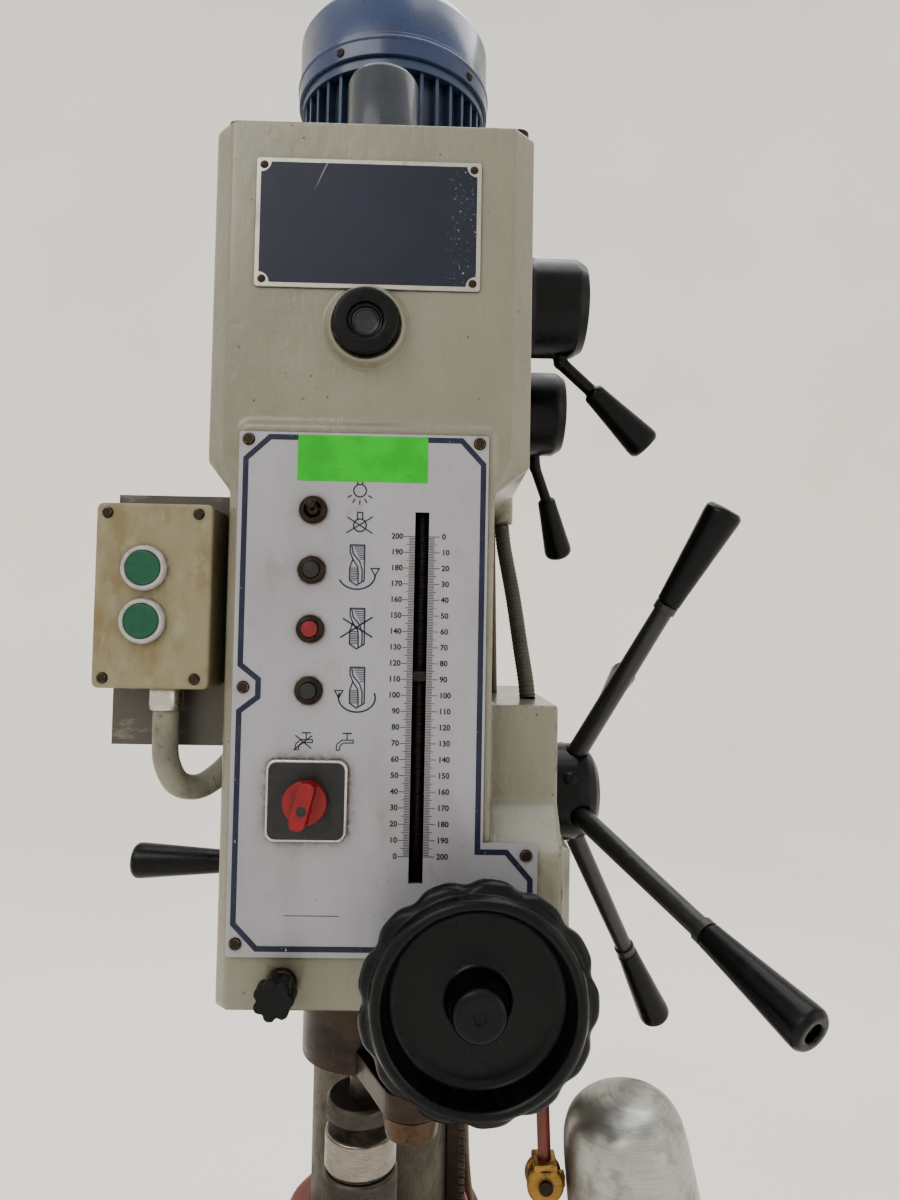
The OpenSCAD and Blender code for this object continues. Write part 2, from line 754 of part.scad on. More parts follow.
module table_plate() {
  color(steel) difference() {
    translate([0, spindle_y, table_top - 40]) difference() {
      linear_extrude(40) plate(-table_w / 2, table_w / 2, -table_d / 2, table_d / 2, 8);
      translate([0, 0, -1]) linear_extrude(15) difference() {
        plate(-table_w / 2 + 16, table_w / 2 - 16, -table_d / 2 + 16, table_d / 2 - 16, 8);
        circle(r = 58);
        square([table_w, 14], center = true);
        square([14, table_d], center = true);
      }
    }
    zcyl(table_top - 41, table_top + 1, 0, spindle_y, table_bore_r);
    for (x = [-80, 80]) {
      box(x - 7, x + 7, spindle_y - table_d, spindle_y + table_d, table_top - 20, table_top + 1);
      box(x - 12, x + 12, spindle_y - table_d, spindle_y + table_d, table_top - 20, table_top - 10);
    }
  }
}

module table_clamp_lever() {
  color(black) {
    ycyl(-48, 36, -114, 339, 6);
    ycyl(-48, -24.3, -114, 339, 13);
    ycyl(24.3, 36, -114, 339, 12);
    translate([-114, -36, 339]) rotate([0, -70, 0]) cylinder(h = 70, r = 6);
    translate([-114, -36, 339]) rotate([0, -70, 0]) translate([0, 0, 60]) grip(62, 9, 13);
  }
}

module elevating_gear() {
  color(steel) {
    translate([lift_pinion_x, 12, lift_pinion_z]) rotate([90, 0, 0]) spur(rack_m, lift_teeth, 24, 180);
    translate([lift_pinion_x, lift_worm_y + 6, lift_pinion_z]) rotate([90, 0, 0])
      spur(lift_wheel_m, lift_wheel_teeth, 12, -90);
    ycyl(-21, 39, lift_pinion_x, lift_pinion_z, 8);
  }
}

// Single-start right-handed worm along Z. Its thread's crest is at the angle given, halfway along.
module worm(r, m, turns, crest) {
  tip = r + 0.9 * m;
  root = r - 1.2 * m;
  length = turns * PI * m;
  translate([0, 0, -length / 2]) rotate(crest - 180 * turns)
    linear_extrude(length, twist = -360 * turns, slices = turns * 14, $fn = 18)
      polygon([for (a = [0:20:340])
        let (u = abs(((a + 180) % 360) - 180) / 180, q = min(1, max(0, (0.42 - u) / 0.22)))
        (root + (tip - root) * q) * [cos(a), sin(a)]]);
}

module elevating_worm() {
  color(steel) {
    xcyl(81, lift_pinion_x - 10, lift_worm_y, lift_worm_z, 7.4);
    translate([lift_pinion_x, lift_worm_y, lift_worm_z]) rotate([0, 90, 0])
      worm(lift_worm_r, lift_wheel_m, 4, 0);
    xcyl(lift_pinion_x + 10, 120, lift_worm_y, lift_worm_z, 7.4);
    xcyl(120, 158, lift_worm_y, lift_worm_z, 8);
  }
}

module crank_arm() {
  color(dark_steel) difference() {
    union() {
      hull() {
        xcyl(158, 170, lift_worm_y, lift_worm_z, 16, $fn = 32);
        xcyl(158, 170, lift_worm_y, lift_worm_z - 92, 11, $fn = 32);
      }
      xcyl(170, 232, lift_worm_y, lift_worm_z - 92, 5);
      xcyl(232, 236, lift_worm_y, lift_worm_z - 92, 8);
    }
  }
}

module crank_grip() {
  color(black) translate([171, lift_worm_y, lift_worm_z - 92]) rotate([0, 90, 0]) rotate_extrude()
    polygon([[5.1, 0], [9, 0], [11, 6], [13, 30], [13, 48], [10, 60], [5.1, 60]]);
}

// ---- Quill and spindle ----

module quill() {
  top = quill_bottom + quill_len;
  color([0.36, 0.31, 0.29]) {
    difference() {
      zcyl(quill_bottom, top, 0, spindle_y, quill_r);
      zcyl(quill_bottom - 1, top + 1, 0, spindle_y, 25);
      zcyl(quill_bottom - 1, quill_bottom + 24, 0, spindle_y, bearing_r + fit);
      zcyl(top - 22, top + 1, 0, spindle_y, bearing_r + fit);
      box(-16, 16, quill_pitch_y - 3.2, quill_pitch_y + 10, quill_teeth_low, top + 1);
    }
    intersection() {
      translate([-13, quill_pitch_y, pinion_z + rack_pitch / 2]) rotate([90, 0, 90])
        rack_strip(rack_m, -10, 15, 4, 26);
      box(-16, 16, quill_pitch_y - 3.5, quill_pitch_y + 10, quill_teeth_low + 2, top - 2);
      zcyl(quill_bottom, top, 0, spindle_y, quill_r);
    }
  }
}

module depth_arm() {
  color(dark_steel) difference() {
    hull() {
      zcyl(697, arm_top, rod_x, rod_y, 19.5, $fn = 32);
      zcyl(697, arm_top, 16, -296, 18, $fn = 32);
    }
    zcyl(690, 720, 0, spindle_y, quill_r);
    zcyl(690, 720, rod_x, rod_y, rod_r);
  }
}

// Depth rod with its grooves, the knurled nut under the arm and the pointer
module depth_rod() {
  color([0.10, 0.10, 0.11]) difference() {
    zcyl(684, 1080, rod_x, rod_y, rod_r);
    for (z = [826:5:1076]) difference() {
      zcyl(z, z + 2, rod_x, rod_y, rod_r + 1);
      zcyl(z - 1, z + 3, rod_x, rod_y, rod_r - 0.8);
    }
  }
  color([0.42, 0.34, 0.28]) difference() {
    zcyl(683, 696.9, rod_x, rod_y, 16.5, 19);
    zcyl(680, 700, rod_x, rod_y, rod_r);
  }
  color(steel) difference() {
    box(rod_x - 3.8, rod_x + 3.8, face_y - 0.4, rod_y, pointer_z - 3, pointer_z + 3);
    zcyl(pointer_z - 4, pointer_z + 4, rod_x, rod_y, rod_r - 0.8);
  }
}

module quill_bearings() {
  color(steel) {
    bearing_ring(0, spindle_y, quill_bottom + 2, quill_bottom + 24, spindle_r + fit, bearing_r);
    bearing_ring(0, spindle_y, quill_bottom + quill_len - 22, quill_bottom + quill_len - 2,
                 spindle_r + fit, bearing_r);
  }
}

module spline_plan(r, tip, w) {
  circle(r = r);
  for (a = [0:60:300]) rotate(a) translate([0, -w / 2]) square([tip, w]);
}

module spindle() {
  color(steel) {
    zcyl(quill_bottom - 4, quill_bottom + quill_len, 0, spindle_y, spindle_r);
    translate([0, spindle_y, quill_bottom + quill_len]) linear_extrude(314) spline_plan(11, 14, 5);
  }
}

module chuck_body() {
  color([0.25, 0.25, 0.26]) difference() {
    union() {
      zcyl(658, quill_bottom - 4, 0, spindle_y, 8.8);
      translate([0, spindle_y, 0]) rotate_extrude()
        polygon([[0, 660], [24, 660], [25.2, 658.5], [25.2, 648], [24, 647], [24, 637.5], [26, 636],
          [26, 613], [24.5, 611], [24.5, 610.5], [19, 610], [19, 575], [12, 562], [0, 562]]);
    }
    zcyl(556, 592, 0, spindle_y, 8);
  }
  // gripping jaws
  color(steel) for (a = [0:120:240]) translate([0, spindle_y, 0]) rotate([0, 0, a])
    box(-2.6, 2.6, -9, -2, 554.5, 590);
}

module chuck_sleeve() {
  color([0.28, 0.28, 0.29]) translate([0, spindle_y, 0]) rotate_extrude()
    polygon([[19.1, 609.6], [chuck_r - 2, 609.6], [chuck_r, 607.5], [chuck_r, 572], [chuck_r - 5, 560],
      [18, 556], [13, 556], [13, 561.6], [19.1, 574.9]]);
}

// ---- Feed ----

module pinion_shaft() {
  color(steel) {
    translate([-13, pinion_y, pinion_z]) rotate([90, 0, 90]) spur(rack_m, pinion_teeth, 26, 180);
    xcyl(-74, 141, pinion_y, pinion_z, shaft_r);
    xcyl(-104, -74, pinion_y, pinion_z, 10);
  }
}

module capstan_hub() {
  color(black) difference() {
    translate([0, pinion_y, pinion_z]) rotate([0, 90, 0]) rotate_extrude()
      polygon([[0, 131.4], [30, 131.4], [33, 139], [38.5, 140], [39, 143], [39, 164],
        [37, 172], [32, 178], [24, 182.5], [12, 184.5], [0, 185]]);
    xcyl(131, 141.1, pinion_y, pinion_z, shaft_r);
    for (i = [0:arm_count - 1]) capstan_place(i) zcyl(20, 80, 0, 0, 8.3);
  }
  color(dark_steel) for (i = [0:arm_count - 1])
    translate([0, pinion_y, pinion_z]) rotate([arm_angle + 45 + i * 360 / arm_count, 0, 0])
      ycyl(39, 40.4, 156, 0, 4.2);
}

module capstan_place(i) {
  translate([hub_x, pinion_y, pinion_z])
    rotate([arm_angle - 90 + i * 360 / arm_count, 0, 0]) rotate([0, arm_tilt, 0]) children();
}

module capstan_arms() {
  color(black) for (i = [0:arm_count - 1]) capstan_place(i) {
    zcyl(20.5, grip_start, 0, 0, 8.3, 7.3);
    zcyl(grip_start - 6, grip_start, 0, 0, 8.8);
  }
}

module capstan_grips() {
  color(black) for (i = [0:arm_count - 1]) capstan_place(i)
    translate([0, 0, grip_start]) grip(grip_end - grip_start, 9.2, grip_r);
}

module worm_shaft() {
  color(steel) {
    ycyl(-430.9, -208, worm_x, worm_z, 10);
    translate([worm_x, pinion_y, worm_z]) rotate([-90, 0, 0]) worm(worm_r, rack_m, 4, 90);
    ycyl(-178, -127, worm_x, worm_z, 10);
  }
}

module handwheel() {
  color(black) translate([worm_x, -386, worm_z]) rotate([90, 0, 0]) difference() {
    union() {
      rotate_extrude() polygon([[10, -13.6], [22, -13.6], [22, 12], [30, 16], [50, 21], [54, 19], [60, 19],
        [63, 23], [64, 31], [62, 37], [58, 41], [54, 40], [50, 34], [44, 29], [22, 27],
        [21, 36], [19, 43], [15, 47], [9, 49], [9, 51], [0, 51], [0, 45], [10, 45]]);
      for (i = [0:lobe_count - 1]) rotate([0, 0, i * 360 / lobe_count])
        zcyl(24, 36, wheel_r - 8, 0, 8);
    }
    zcyl(44, 52, 0, 0, 4.5);
  }
}

module worm_wheel() {
  color([0.60, 0.47, 0.22]) difference() {
    translate([worm_x - 9, pinion_y, pinion_z]) rotate([90, 0, 90])
      spur(rack_m, wheel_teeth, 18, -90);
    xcyl(worm_x - 20, worm_x + 20, pinion_y, pinion_z, shaft_r + fit);
  }
}

// ---- Levers, knobs and buttons ----

// Gear change lever: a drum on the head's side with a bent arm and a grip.
// The points are [X, distance from the drum's axis].
module gear_lever(drum, angle, bend, collar, tip) {
  color(black) translate([0, drum[0], drum[1]]) rotate([angle + 90, 0, 0]) {
    xcyl(chamber_right - 12, 120, 0, 0, 8);
    translate([upper_right, 0, 0]) rotate([0, 90, 0]) rotate_extrude()
      polygon([[0, 0.3], [drum_r + 2.5, 0.3], [drum_r + 2.5, 6], [drum_r, 9], [drum_r, 42],
        [drum_r - 5, 50], [0, 50]]);
    for (s = [[[bend[0] - 3, 26], bend], [bend, collar]])
      let (v = s[1] - s[0]) translate([s[0][0], 0, -s[0][1]])
        rotate([0, 180 - atan2(v[0], v[1]), 0]) cylinder(h = norm(v), r = 5);
    translate([bend[0], 0, -bend[1]]) sphere(r = 5.6);
    let (v = tip - collar) translate([collar[0], 0, -collar[1]])
      rotate([0, 180 - atan2(v[0], v[1]), 0]) grip(norm(v), 8.5, 13);
  }
}

module upper_gear_lever() {
  gear_lever(upper_drum, -83.8, [141.5, 40], [167, 62], [211.5, 104]);
}

module lower_gear_lever() {
  gear_lever(lower_drum, -58.3, [138, 50], [151, 82], [168.5, 140]);
}

module quill_clamp_lever() {
  color(black) {
    ycyl(-230, -170, clamp_x, clamp_z, 5);
    ycyl(-217.5, -182.5, clamp_x, clamp_z, 10);
    xcyl(clamp_x - 20, clamp_x - 2, clamp_y, clamp_z, 7);
    translate([clamp_x - 18, clamp_y, clamp_z]) rotate([0, -90, 0]) grip(72, 9.5, grip_r);
  }
}

module rotary_knob() {
  color([0.72, 0.08, 0.07]) {
    ycyl(face_y - 14, face_y - 7.3, switch_x, switch_z, 13.5);
    ycyl(face_y - 8, face_y + 14, switch_x, switch_z, 6.9);
    translate([switch_x, 0, switch_z]) rotate([0, 14, 0])
      facing(face_y - 25, face_y - 13) plate(-5, 5, -14.5, 14.5, 4);
  }
}

module lamp_toggle() {
  color(steel) translate([button_x, face_y - 3, button_zs[0]]) {
    sphere(r = 4.4);
    xcyl(-4.9, 4.9, 0, 0, 1.2);
    rotate([78, 0, 0]) cylinder(h = 10, r = 2.2);
    rotate([78, 0, 0]) translate([0, 0, 10]) sphere(r = 3.2);
  }
}

module panel_button(z, tint) {
  color(tint) {
    ycyl(face_y - 7.6, face_y + 12, button_x, z, 5.1);
    ycyl(face_y + 9, face_y + 12, button_x, z, 7);
  }
}

module forward_button() {
  panel_button(button_zs[1], black);
}

module stop_button() {
  panel_button(button_zs[2], [0.65, 0.10, 0.10]);
}

module reverse_button() {
  panel_button(button_zs[3], black);
}

module station_button(z) {
  color([0.02, 0.42, 0.26]) {
    ycyl(station_face - 4.6, station_face + 16, station_x, z, 11);
    ycyl(station_face + 11, station_face + 16, station_x, z, 14);
  }
}

module station_upper_button() {
  station_button(station_button_zs[0]);
}

module station_lower_button() {
  station_button(station_button_zs[1]);
}

module lock_knob() {
  color(black) {
    ycyl(face_y - 24, face_y + 34, lock_x, lock_z, 5);
    ycyl(face_y - 14, face_y - 5.3, lock_x, lock_z, 8);
    facing(face_y - 26, face_y - 12) translate([lock_x, lock_z]) {
      circle(r = 10);
      for (i = [0:6]) rotate(i * 360 / 7) translate([8.8, 0]) circle(r = 3.7);
    }
  }
}

// ---- Gear train ----

module motor_rotor() {
  color(steel) translate([0, motor_y, 0]) {
    zcyl(high_gear_z - 4, 1520, 0, 0, 12);
    zcyl(1360, 1454, 0, 0, 50);
    translate([0, 0, high_gear_z]) spur(gear_m, 20, gear_h, motor_phase);
    zcyl(1490, 1520, 0, 0, 20);
    for (a = [0:40:320]) rotate([0, 0, a]) box(15, 70, -1.5, 1.5, 1494, 1516);
  }
}

// Directions of the two meshes, seen from the countershaft
to_motor = atan2(motor_y - counter_y, -counter_x);
to_spindle = atan2(spindle_y - counter_y, -counter_x);
motor_phase = to_motor + 180 + 180 / 20;

module counter_gears() {
  color(steel) translate([counter_x, counter_y, 0]) {
    zcyl(chamber_floor - 8, 1311, 0, 0, 10);
    translate([0, 0, high_gear_z]) spur(gear_m, 40, gear_h, to_motor);
    translate([0, 0, low_gear_z]) spur(gear_m, 20, gear_h, to_spindle);
    zcyl(low_gear_z + gear_h, high_gear_z, 0, 0, 16);
  }
}

module drive_gear() {
  color(steel) translate([0, spindle_y, 0]) difference() {
    union() {
      zcyl(chamber_low + 1, 1313, 0, 0, 20);
      zcyl(low_gear_z - 8, low_gear_z + gear_h + 4, 0, 0, 30);
      translate([0, 0, low_gear_z]) spur(gear_m, 40, gear_h, to_spindle + 180 + 180 / 40);
    }
    translate([0, 0, chamber_low - 1]) linear_extrude(240) spline_plan(11.4, 14.4, 5.8);
  }
}

// ---- Work lamp ----

module lamp_arm() {
  color([0.55, 0.14, 0.10]) tube([[lamp_x, lamp_y, head_bottom], [lamp_x, lamp_y, 730],
    [lamp_x + 3, lamp_y, 685], [knuckle_x, lamp_y, knuckle_z + 14]], 4.5, 10, 2);
  color([0.66, 0.52, 0.32]) for (y = [lamp_y - 9, lamp_y + 4]) ycyl(y, y + 5, knuckle_x, knuckle_z, 12.5);
  color([0.66, 0.52, 0.32]) box(knuckle_x - 8, knuckle_x + 8, lamp_y - 9, lamp_y + 9, knuckle_z + 9, knuckle_z + 14);
  color(dark_steel) ycyl(lamp_y - 12, lamp_y + 12, knuckle_x, knuckle_z, 3);
}

// Shade with its bulb, held by a strap that turns on the knuckle's pin
module lamp_shade() {
  color([0.66, 0.66, 0.66]) {
    difference() {
      union() {
        ycyl(lamp_y - 3.7, lamp_y + 3.7, knuckle_x, knuckle_z, 8);
        box(knuckle_x, shade_x - 26, lamp_y - 3.7, lamp_y + 3.7, knuckle_z - 4, knuckle_z + 4);
      }
      ycyl(lamp_y - 5, lamp_y + 5, knuckle_x, knuckle_z, 3 + fit);
      shade_place() zcyl(-120, 1, 0, 0, 41);
    }
    shade_place() rotate_extrude() polygon([[0, 0], [16, -1], [28, -5], [36, -12], [40.5, -22], [42.5, -36],
      [47, -108], [45.6, -108], [41.1, -36], [39.2, -23], [35, -14], [27.5, -7.2], [16, -3.4], [0, -2.4]]);
  }
  color([0.9, 0.9, 0.85]) shade_place() {
    zcyl(-44, -2, 0, 0, 13);
    translate([0, 0, -60]) sphere(r = 22);
  }
}

module shade_place() {
  translate([shade_x, lamp_y, shade_top]) rotate([0, shade_tilt, 0]) children();
}

base_plate();
column_flange();
column();
rack_collars();
head_casting();
gearbox_cover();
fasteners();
front_panel();
name_plate();
sight_glass();
motor_housing();
motor_cowl();
terminal_boxes();
spindle_cover();
station_plate();
station_box();
control_bezels();
conduits();
base_cables();
shaft_bearings();
spring_cover();
return_spring();
column_rack();
table_bracket();
table_plate();
table_clamp_lever();
elevating_gear();
elevating_worm();
crank_arm();
crank_grip();
quill();
depth_arm();
depth_rod();
quill_bearings();
spindle();
chuck_body();
chuck_sleeve();
pinion_shaft();
capstan_hub();
capstan_arms();
capstan_grips();
worm_shaft();
handwheel();
worm_wheel();
upper_gear_lever();
lower_gear_lever();
quill_clamp_lever();
rotary_knob();
lamp_toggle();
forward_button();
stop_button();
reverse_button();
station_upper_button();
station_lower_button();
lock_knob();
motor_rotor();
counter_gears();
drive_gear();
lamp_arm();
lamp_shade();
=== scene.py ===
"""Looks of a geared-head drilling machine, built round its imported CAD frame. Lengths are in metres."""
import math

import bpy
from mathutils import Matrix, Vector


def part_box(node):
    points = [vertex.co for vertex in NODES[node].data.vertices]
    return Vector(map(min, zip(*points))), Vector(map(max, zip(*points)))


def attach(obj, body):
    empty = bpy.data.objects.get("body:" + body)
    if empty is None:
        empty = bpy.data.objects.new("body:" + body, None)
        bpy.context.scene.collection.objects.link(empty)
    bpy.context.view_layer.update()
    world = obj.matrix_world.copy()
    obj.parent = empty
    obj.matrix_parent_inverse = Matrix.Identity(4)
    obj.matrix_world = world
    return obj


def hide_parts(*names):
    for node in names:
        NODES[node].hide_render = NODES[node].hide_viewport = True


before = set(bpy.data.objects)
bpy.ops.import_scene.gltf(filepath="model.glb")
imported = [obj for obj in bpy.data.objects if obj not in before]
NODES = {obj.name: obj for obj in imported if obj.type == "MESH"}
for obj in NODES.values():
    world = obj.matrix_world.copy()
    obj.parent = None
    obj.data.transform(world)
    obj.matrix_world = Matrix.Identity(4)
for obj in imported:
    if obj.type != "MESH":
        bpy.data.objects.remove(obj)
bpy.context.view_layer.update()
MM = 0.001


def colour(red, green, blue):
    """An sRGB colour, 0 to 255, as the linear colour that shaders take."""
    return (*[((c / 255 + 0.055) / 1.055) ** 2.4 if c > 10 else c / 255 / 12.92 for c in (red, green, blue)], 1)


def dimmed(base, share):
    return tuple(c * share for c in base[:3]) + (1,)


def middle(node):
    low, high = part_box(node)
    return (low + high) / 2


# Planes and axes of the frame
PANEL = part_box("front_panel")
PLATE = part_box("name_plate")
SLOT_X = middle("depth_rod").x
FACE_Y = PANEL[0].y
SPINDLE = middle("spindle")
MOTOR = middle("motor_cowl")
WHEEL = middle("handwheel")
SIGHT = middle("sight_glass")
FORWARD_BUTTON = middle("forward_button")
SWITCH = middle("rotary_knob")
LOCK = middle("lock_knob")
PANEL_LEFT = PANEL[0].x
PANEL_TOP = PANEL[1].z
PANEL_LOW = PANEL[0].z

# The lamp, in mm: the plane it hangs in, the pin it tilts on, and its shade's top and lean in degrees
LAMP_Y = -300
PIN_X, PIN_Z = 129, 628
SHADE_X, SHADE_TOP, SHADE_LEAN = 179, 686, -9


# ---- Materials ----

class Finish:
    """A Principled material whose layers are added one at a time. Sizes are in metres."""

    def __init__(self, name, base, rough, metal=0.0):
        self.material = bpy.data.materials.new(name)
        self.material.use_nodes = True
        self.tree = self.material.node_tree
        self.shader = self.tree.nodes["Principled BSDF"]
        self.place = self.node("ShaderNodeTexCoord").outputs["Object"]
        self.normal = None
        self.base = base
        self.rough = rough
        self.metal = metal

    def node(self, kind, inputs=(), **settings):
        made = self.tree.nodes.new(kind)
        for key, value in settings.items():
            setattr(made, key, value)
        for key, value in dict(inputs).items():
            self.feed(made.inputs[key], value)
        return made

    def feed(self, target, value):
        if isinstance(value, bpy.types.NodeSocket):
            self.tree.links.new(value, target)
        else:
            target.default_value = value

    def maths(self, operation, a, b=0.0):
        return self.node("ShaderNodeMath", {0: a, 1: b}, operation=operation).outputs[0]

    def noise(self, size, detail=4.0, stretch=(1, 1, 1), soft=0.55, bend=0.0):
        """Noise whose features are about size wide, drawn out by stretch."""
        mapped = self.node("ShaderNodeMapping", {"Vector": self.place, "Scale": [1 / (size * s) for s in stretch]})
        return self.node("ShaderNodeTexNoise", {"Vector": mapped.outputs[0], "Scale": 1.0, "Detail": detail,
                                                "Roughness": soft, "Distortion": bend}).outputs[0]

    def patches(self, low, high, size, *shape, **more):
        """A mask of noise between two of its levels."""
        return self.between(self.noise(size, *shape, **more), low, high)

    def speckle(self, size, low, high):
        """Small separate spots, one where the cell's centre is near."""
        scaled = self.node("ShaderNodeMapping", {"Vector": self.place, "Scale": [1 / size] * 3})
        cells = self.node("ShaderNodeTexVoronoi", {"Vector": scaled.outputs[0], "Scale": 1.0})
        return self.between(cells.outputs["Distance"], high, low)

    def between(self, value, low, high):
        """0 below low and 1 above high, smooth between them."""
        return self.node("ShaderNodeMapRange", {0: value, 1: low, 2: high, 3: 0.0, 4: 1.0},
                         interpolation_type="SMOOTHSTEP").outputs[0]

    def height(self, axis):
        return self.node("ShaderNodeSeparateXYZ", {0: self.place}).outputs[axis]

    def bevelled(self, radius):
        return self.node("ShaderNodeBevel", {"Radius": radius}, samples=4).outputs[0]

    def edges(self, radius, low=0.02, high=0.12):
        """A mask of the outer edges, found from how a rounded normal leaves the true one."""
        true = self.node("ShaderNodeNewGeometry").outputs["Normal"]
        dot = self.node("ShaderNodeVectorMath", {0: self.bevelled(radius), 1: true}, operation="DOT_PRODUCT")
        dot = dot.outputs["Value"]
        return self.between(self.maths("SUBTRACT", 1.0, dot), low, high)

    def ridges(self, low, high):
        """A mask of the rounded outer edges of a finely meshed casting."""
        return self.between(self.node("ShaderNodeNewGeometry").outputs["Pointiness"], low, high)

    def crevices(self, distance, low=0.35, high=0.95):
        """A mask of corners and gaps, found by ambient occlusion: where shade falls, and where grime gathers."""
        open_sky = self.node("ShaderNodeAmbientOcclusion", {"Distance": distance}, samples=6).outputs["AO"]
        return self.between(open_sky, high, low)

    def facing_up(self):
        normal = self.node("ShaderNodeNewGeometry").outputs["Normal"]
        return self.between(self.node("ShaderNodeSeparateXYZ", {0: normal}).outputs[2], 0.35, 0.95)

    def both(self, a, b):
        return self.maths("MULTIPLY", a, b)

    def paint(self, mask, shade, rough=None, metal=None, share=1.0):
        """Lays a colour over the mask, and its roughness and metal if they are given."""
        mask = self.maths("MULTIPLY", mask, share) if share != 1.0 else mask
        mixed = self.node("ShaderNodeMix", {0: mask}, data_type="RGBA")
        self.feed(mixed.inputs[6], self.base)
        self.feed(mixed.inputs[7], shade)
        self.base = mixed.outputs[2]
        if rough is not None:
            self.rough = self.node("ShaderNodeMix", {0: mask, 2: self.rough, 3: rough}).outputs[0]
        if metal is not None:
            self.metal = self.node("ShaderNodeMix", {0: mask, 2: self.metal, 3: metal}).outputs[0]

    def bump(self, height, depth, strength=1.0):
        """Raises the surface by up to depth where height is 1."""
        inputs = {"Height": height, "Distance": depth, "Strength": strength}
        if self.normal is not None:
            inputs["Normal"] = self.normal
        self.normal = self.node("ShaderNodeBump", inputs).outputs[0]

    def rounded(self, radius):
        """Softens the edges that the light sees."""
        self.normal = self.bevelled(radius)

    def done(self, **constants):
        self.feed(self.shader.inputs["Base Color"], self.base)
        self.feed(self.shader.inputs["Roughness"], self.rough)
        self.feed(self.shader.inputs["Metallic"], self.metal)
        if self.normal is not None:
            self.feed(self.shader.inputs["Normal"], self.normal)
        for key, value in constants.items():
            self.shader.inputs[key.replace("_", " ")].default_value = value
        return self.material


RUST = colour(92, 58, 34)
# The next two dark colours are laid in corners and gaps: grime and soot there, and painted shade.
CREVICE_GRIME_AND_SHADE = colour(74, 62, 44)
SOOT_AND_SHADE = colour(22, 20, 18)
BARE = colour(150, 146, 138)


def cream_enamel():
    """Brushed workshop enamel over cast iron: strokes, runs, chips and rust at the edges."""
    f = Finish("cream_enamel", colour(126, 124, 110), 0.34)
    wide = f.noise(0.11, 4, (1, 1, 1.6))
    strokes = f.noise(1.7 * MM, 3, (1, 1, 26), 0.5, 0.4)
    cross_strokes = f.noise(2.2 * MM, 3, (18, 18, 1), 0.5, 0.3)
    lumps = f.noise(9 * MM, 3, (1, 1, 1.4))
    pits = f.noise(3.5 * MM, 4)
    f.paint(f.between(wide, 0.42, 0.72), colour(115, 114, 99), 0.4)
    f.paint(f.between(wide, 0.48, 0.30), colour(138, 137, 126), 0.3, share=0.7)
    f.paint(f.between(strokes, 0.48, 0.72), colour(112, 111, 95), share=0.18)
    f.paint(f.patches(0.56, 0.74, 0.045, 6, (1, 1, 3.5), 0.7), colour(106, 98, 74), 0.5, share=0.5)
    # Grime and painted shade darken the corners and gaps, in patches.
    grime_and_painted_shade = f.both(f.crevices(14 * MM), f.patches(0.30, 0.60, 7 * MM, 6))
    f.paint(grime_and_painted_shade, CREVICE_GRIME_AND_SHADE, 0.75, share=0.8)
    f.paint(f.both(f.crevices(4 * MM, 0.2, 0.8), f.patches(0.32, 0.52, 3 * MM, 5)), SOOT_AND_SHADE, 0.8, share=0.8)
    spots = f.both(f.speckle(8 * MM, 0.05, 0.15), f.patches(0.50, 0.62, 0.03, 4))
    f.paint(spots, RUST, 0.8, share=0.85)
    worn = f.both(f.ridges(0.515, 0.56), f.patches(0.53, 0.60, 7 * MM, 8, (1, 1, 1.6), 0.74))
    f.paint(worn, RUST, 0.72)
    f.paint(f.both(worn, f.patches(0.48, 0.58, 2 * MM, 3)), BARE, 0.4, 0.8)
    f.bump(lumps, 1.6 * MM, 0.6)
    f.bump(pits, 0.45 * MM, 0.5)
    f.bump(strokes, 0.20 * MM, 0.8)
    f.bump(cross_strokes, 0.20 * MM, 0.6)
    f.bump(worn, -0.4 * MM)
    return f.done(Coat_Weight=0.55, Coat_Roughness=0.16)


def panel_metal():
    """Satin anodised sheet with drawn lines, rubbed-in grime, and rust halos and painted shade round what is fixed to
    it.
    """
    f = Finish("panel_satin", colour(160, 160, 167), 0.38, 0.3)
    drawn = f.noise(0.35 * MM, 2, (1, 1, 60))
    f.paint(f.between(drawn, 0.4, 0.75), colour(144, 144, 152), share=0.4)
    f.paint(f.patches(0.45, 0.75, 0.07, 5, (1, 1, 2.2)), colour(143, 141, 148), 0.5, share=0.8)
    stains = f.both(f.patches(0.56, 0.74, 0.028, 7, (1, 1, 1.8), 0.7), 0.7)
    f.paint(stains, colour(136, 125, 114), 0.6, share=0.75)
    # Rust halos and painted shade round what is fixed to the panel.
    rust_and_shade_halo = f.both(f.crevices(11 * MM, 0.45, 0.99), f.patches(0.30, 0.60, 4 * MM, 6, soft=0.7))
    f.paint(rust_and_shade_halo, colour(88, 62, 42), 0.8, 0.0, share=0.85)
    # Grime and painted shade in the tight gaps.
    tight_grime_and_shade = f.both(f.crevices(2.5 * MM, 0.3, 0.8), f.patches(0.35, 0.55, 1.6 * MM, 5))
    f.paint(tight_grime_and_shade, colour(46, 36, 28), 0.85, 0.0, share=0.9)
    specks = f.both(f.speckle(3.2 * MM, 0.05, 0.14), f.patches(0.57, 0.66, 0.016, 4))
    f.paint(specks, colour(62, 50, 42), 0.8, 0.0)
    scratches = f.patches(0.70, 0.76, 0.5 * MM, 2, (1, 1, 34), 0.5, 2.2)
    f.paint(scratches, colour(120, 114, 112), 0.5, share=0.5)
    f.bump(drawn, 0.03 * MM, 0.6)
    f.bump(f.noise(0.02, 2), 0.5 * MM, 0.25)
    return f.done(Specular_IOR_Level=0.4)


def print_ink(name, base, chips=0.0):
    """Screen-printed ink that has faded and lost flecks."""
    f = Finish(name, base, 0.42)
    f.paint(f.patches(0.4, 0.7, 0.02, 5), tuple(c * 1.5 + 0.004 for c in base[:3]) + (1,), 0.5)
    flecks = f.patches(0.665 - chips, 0.70 - chips, 2.2 * MM, 6, (1, 1, 2.4), 0.75)
    f.paint(flecks, colour(172, 170, 172), 0.5)
    f.bump(flecks, -0.05 * MM)
    return f.done()


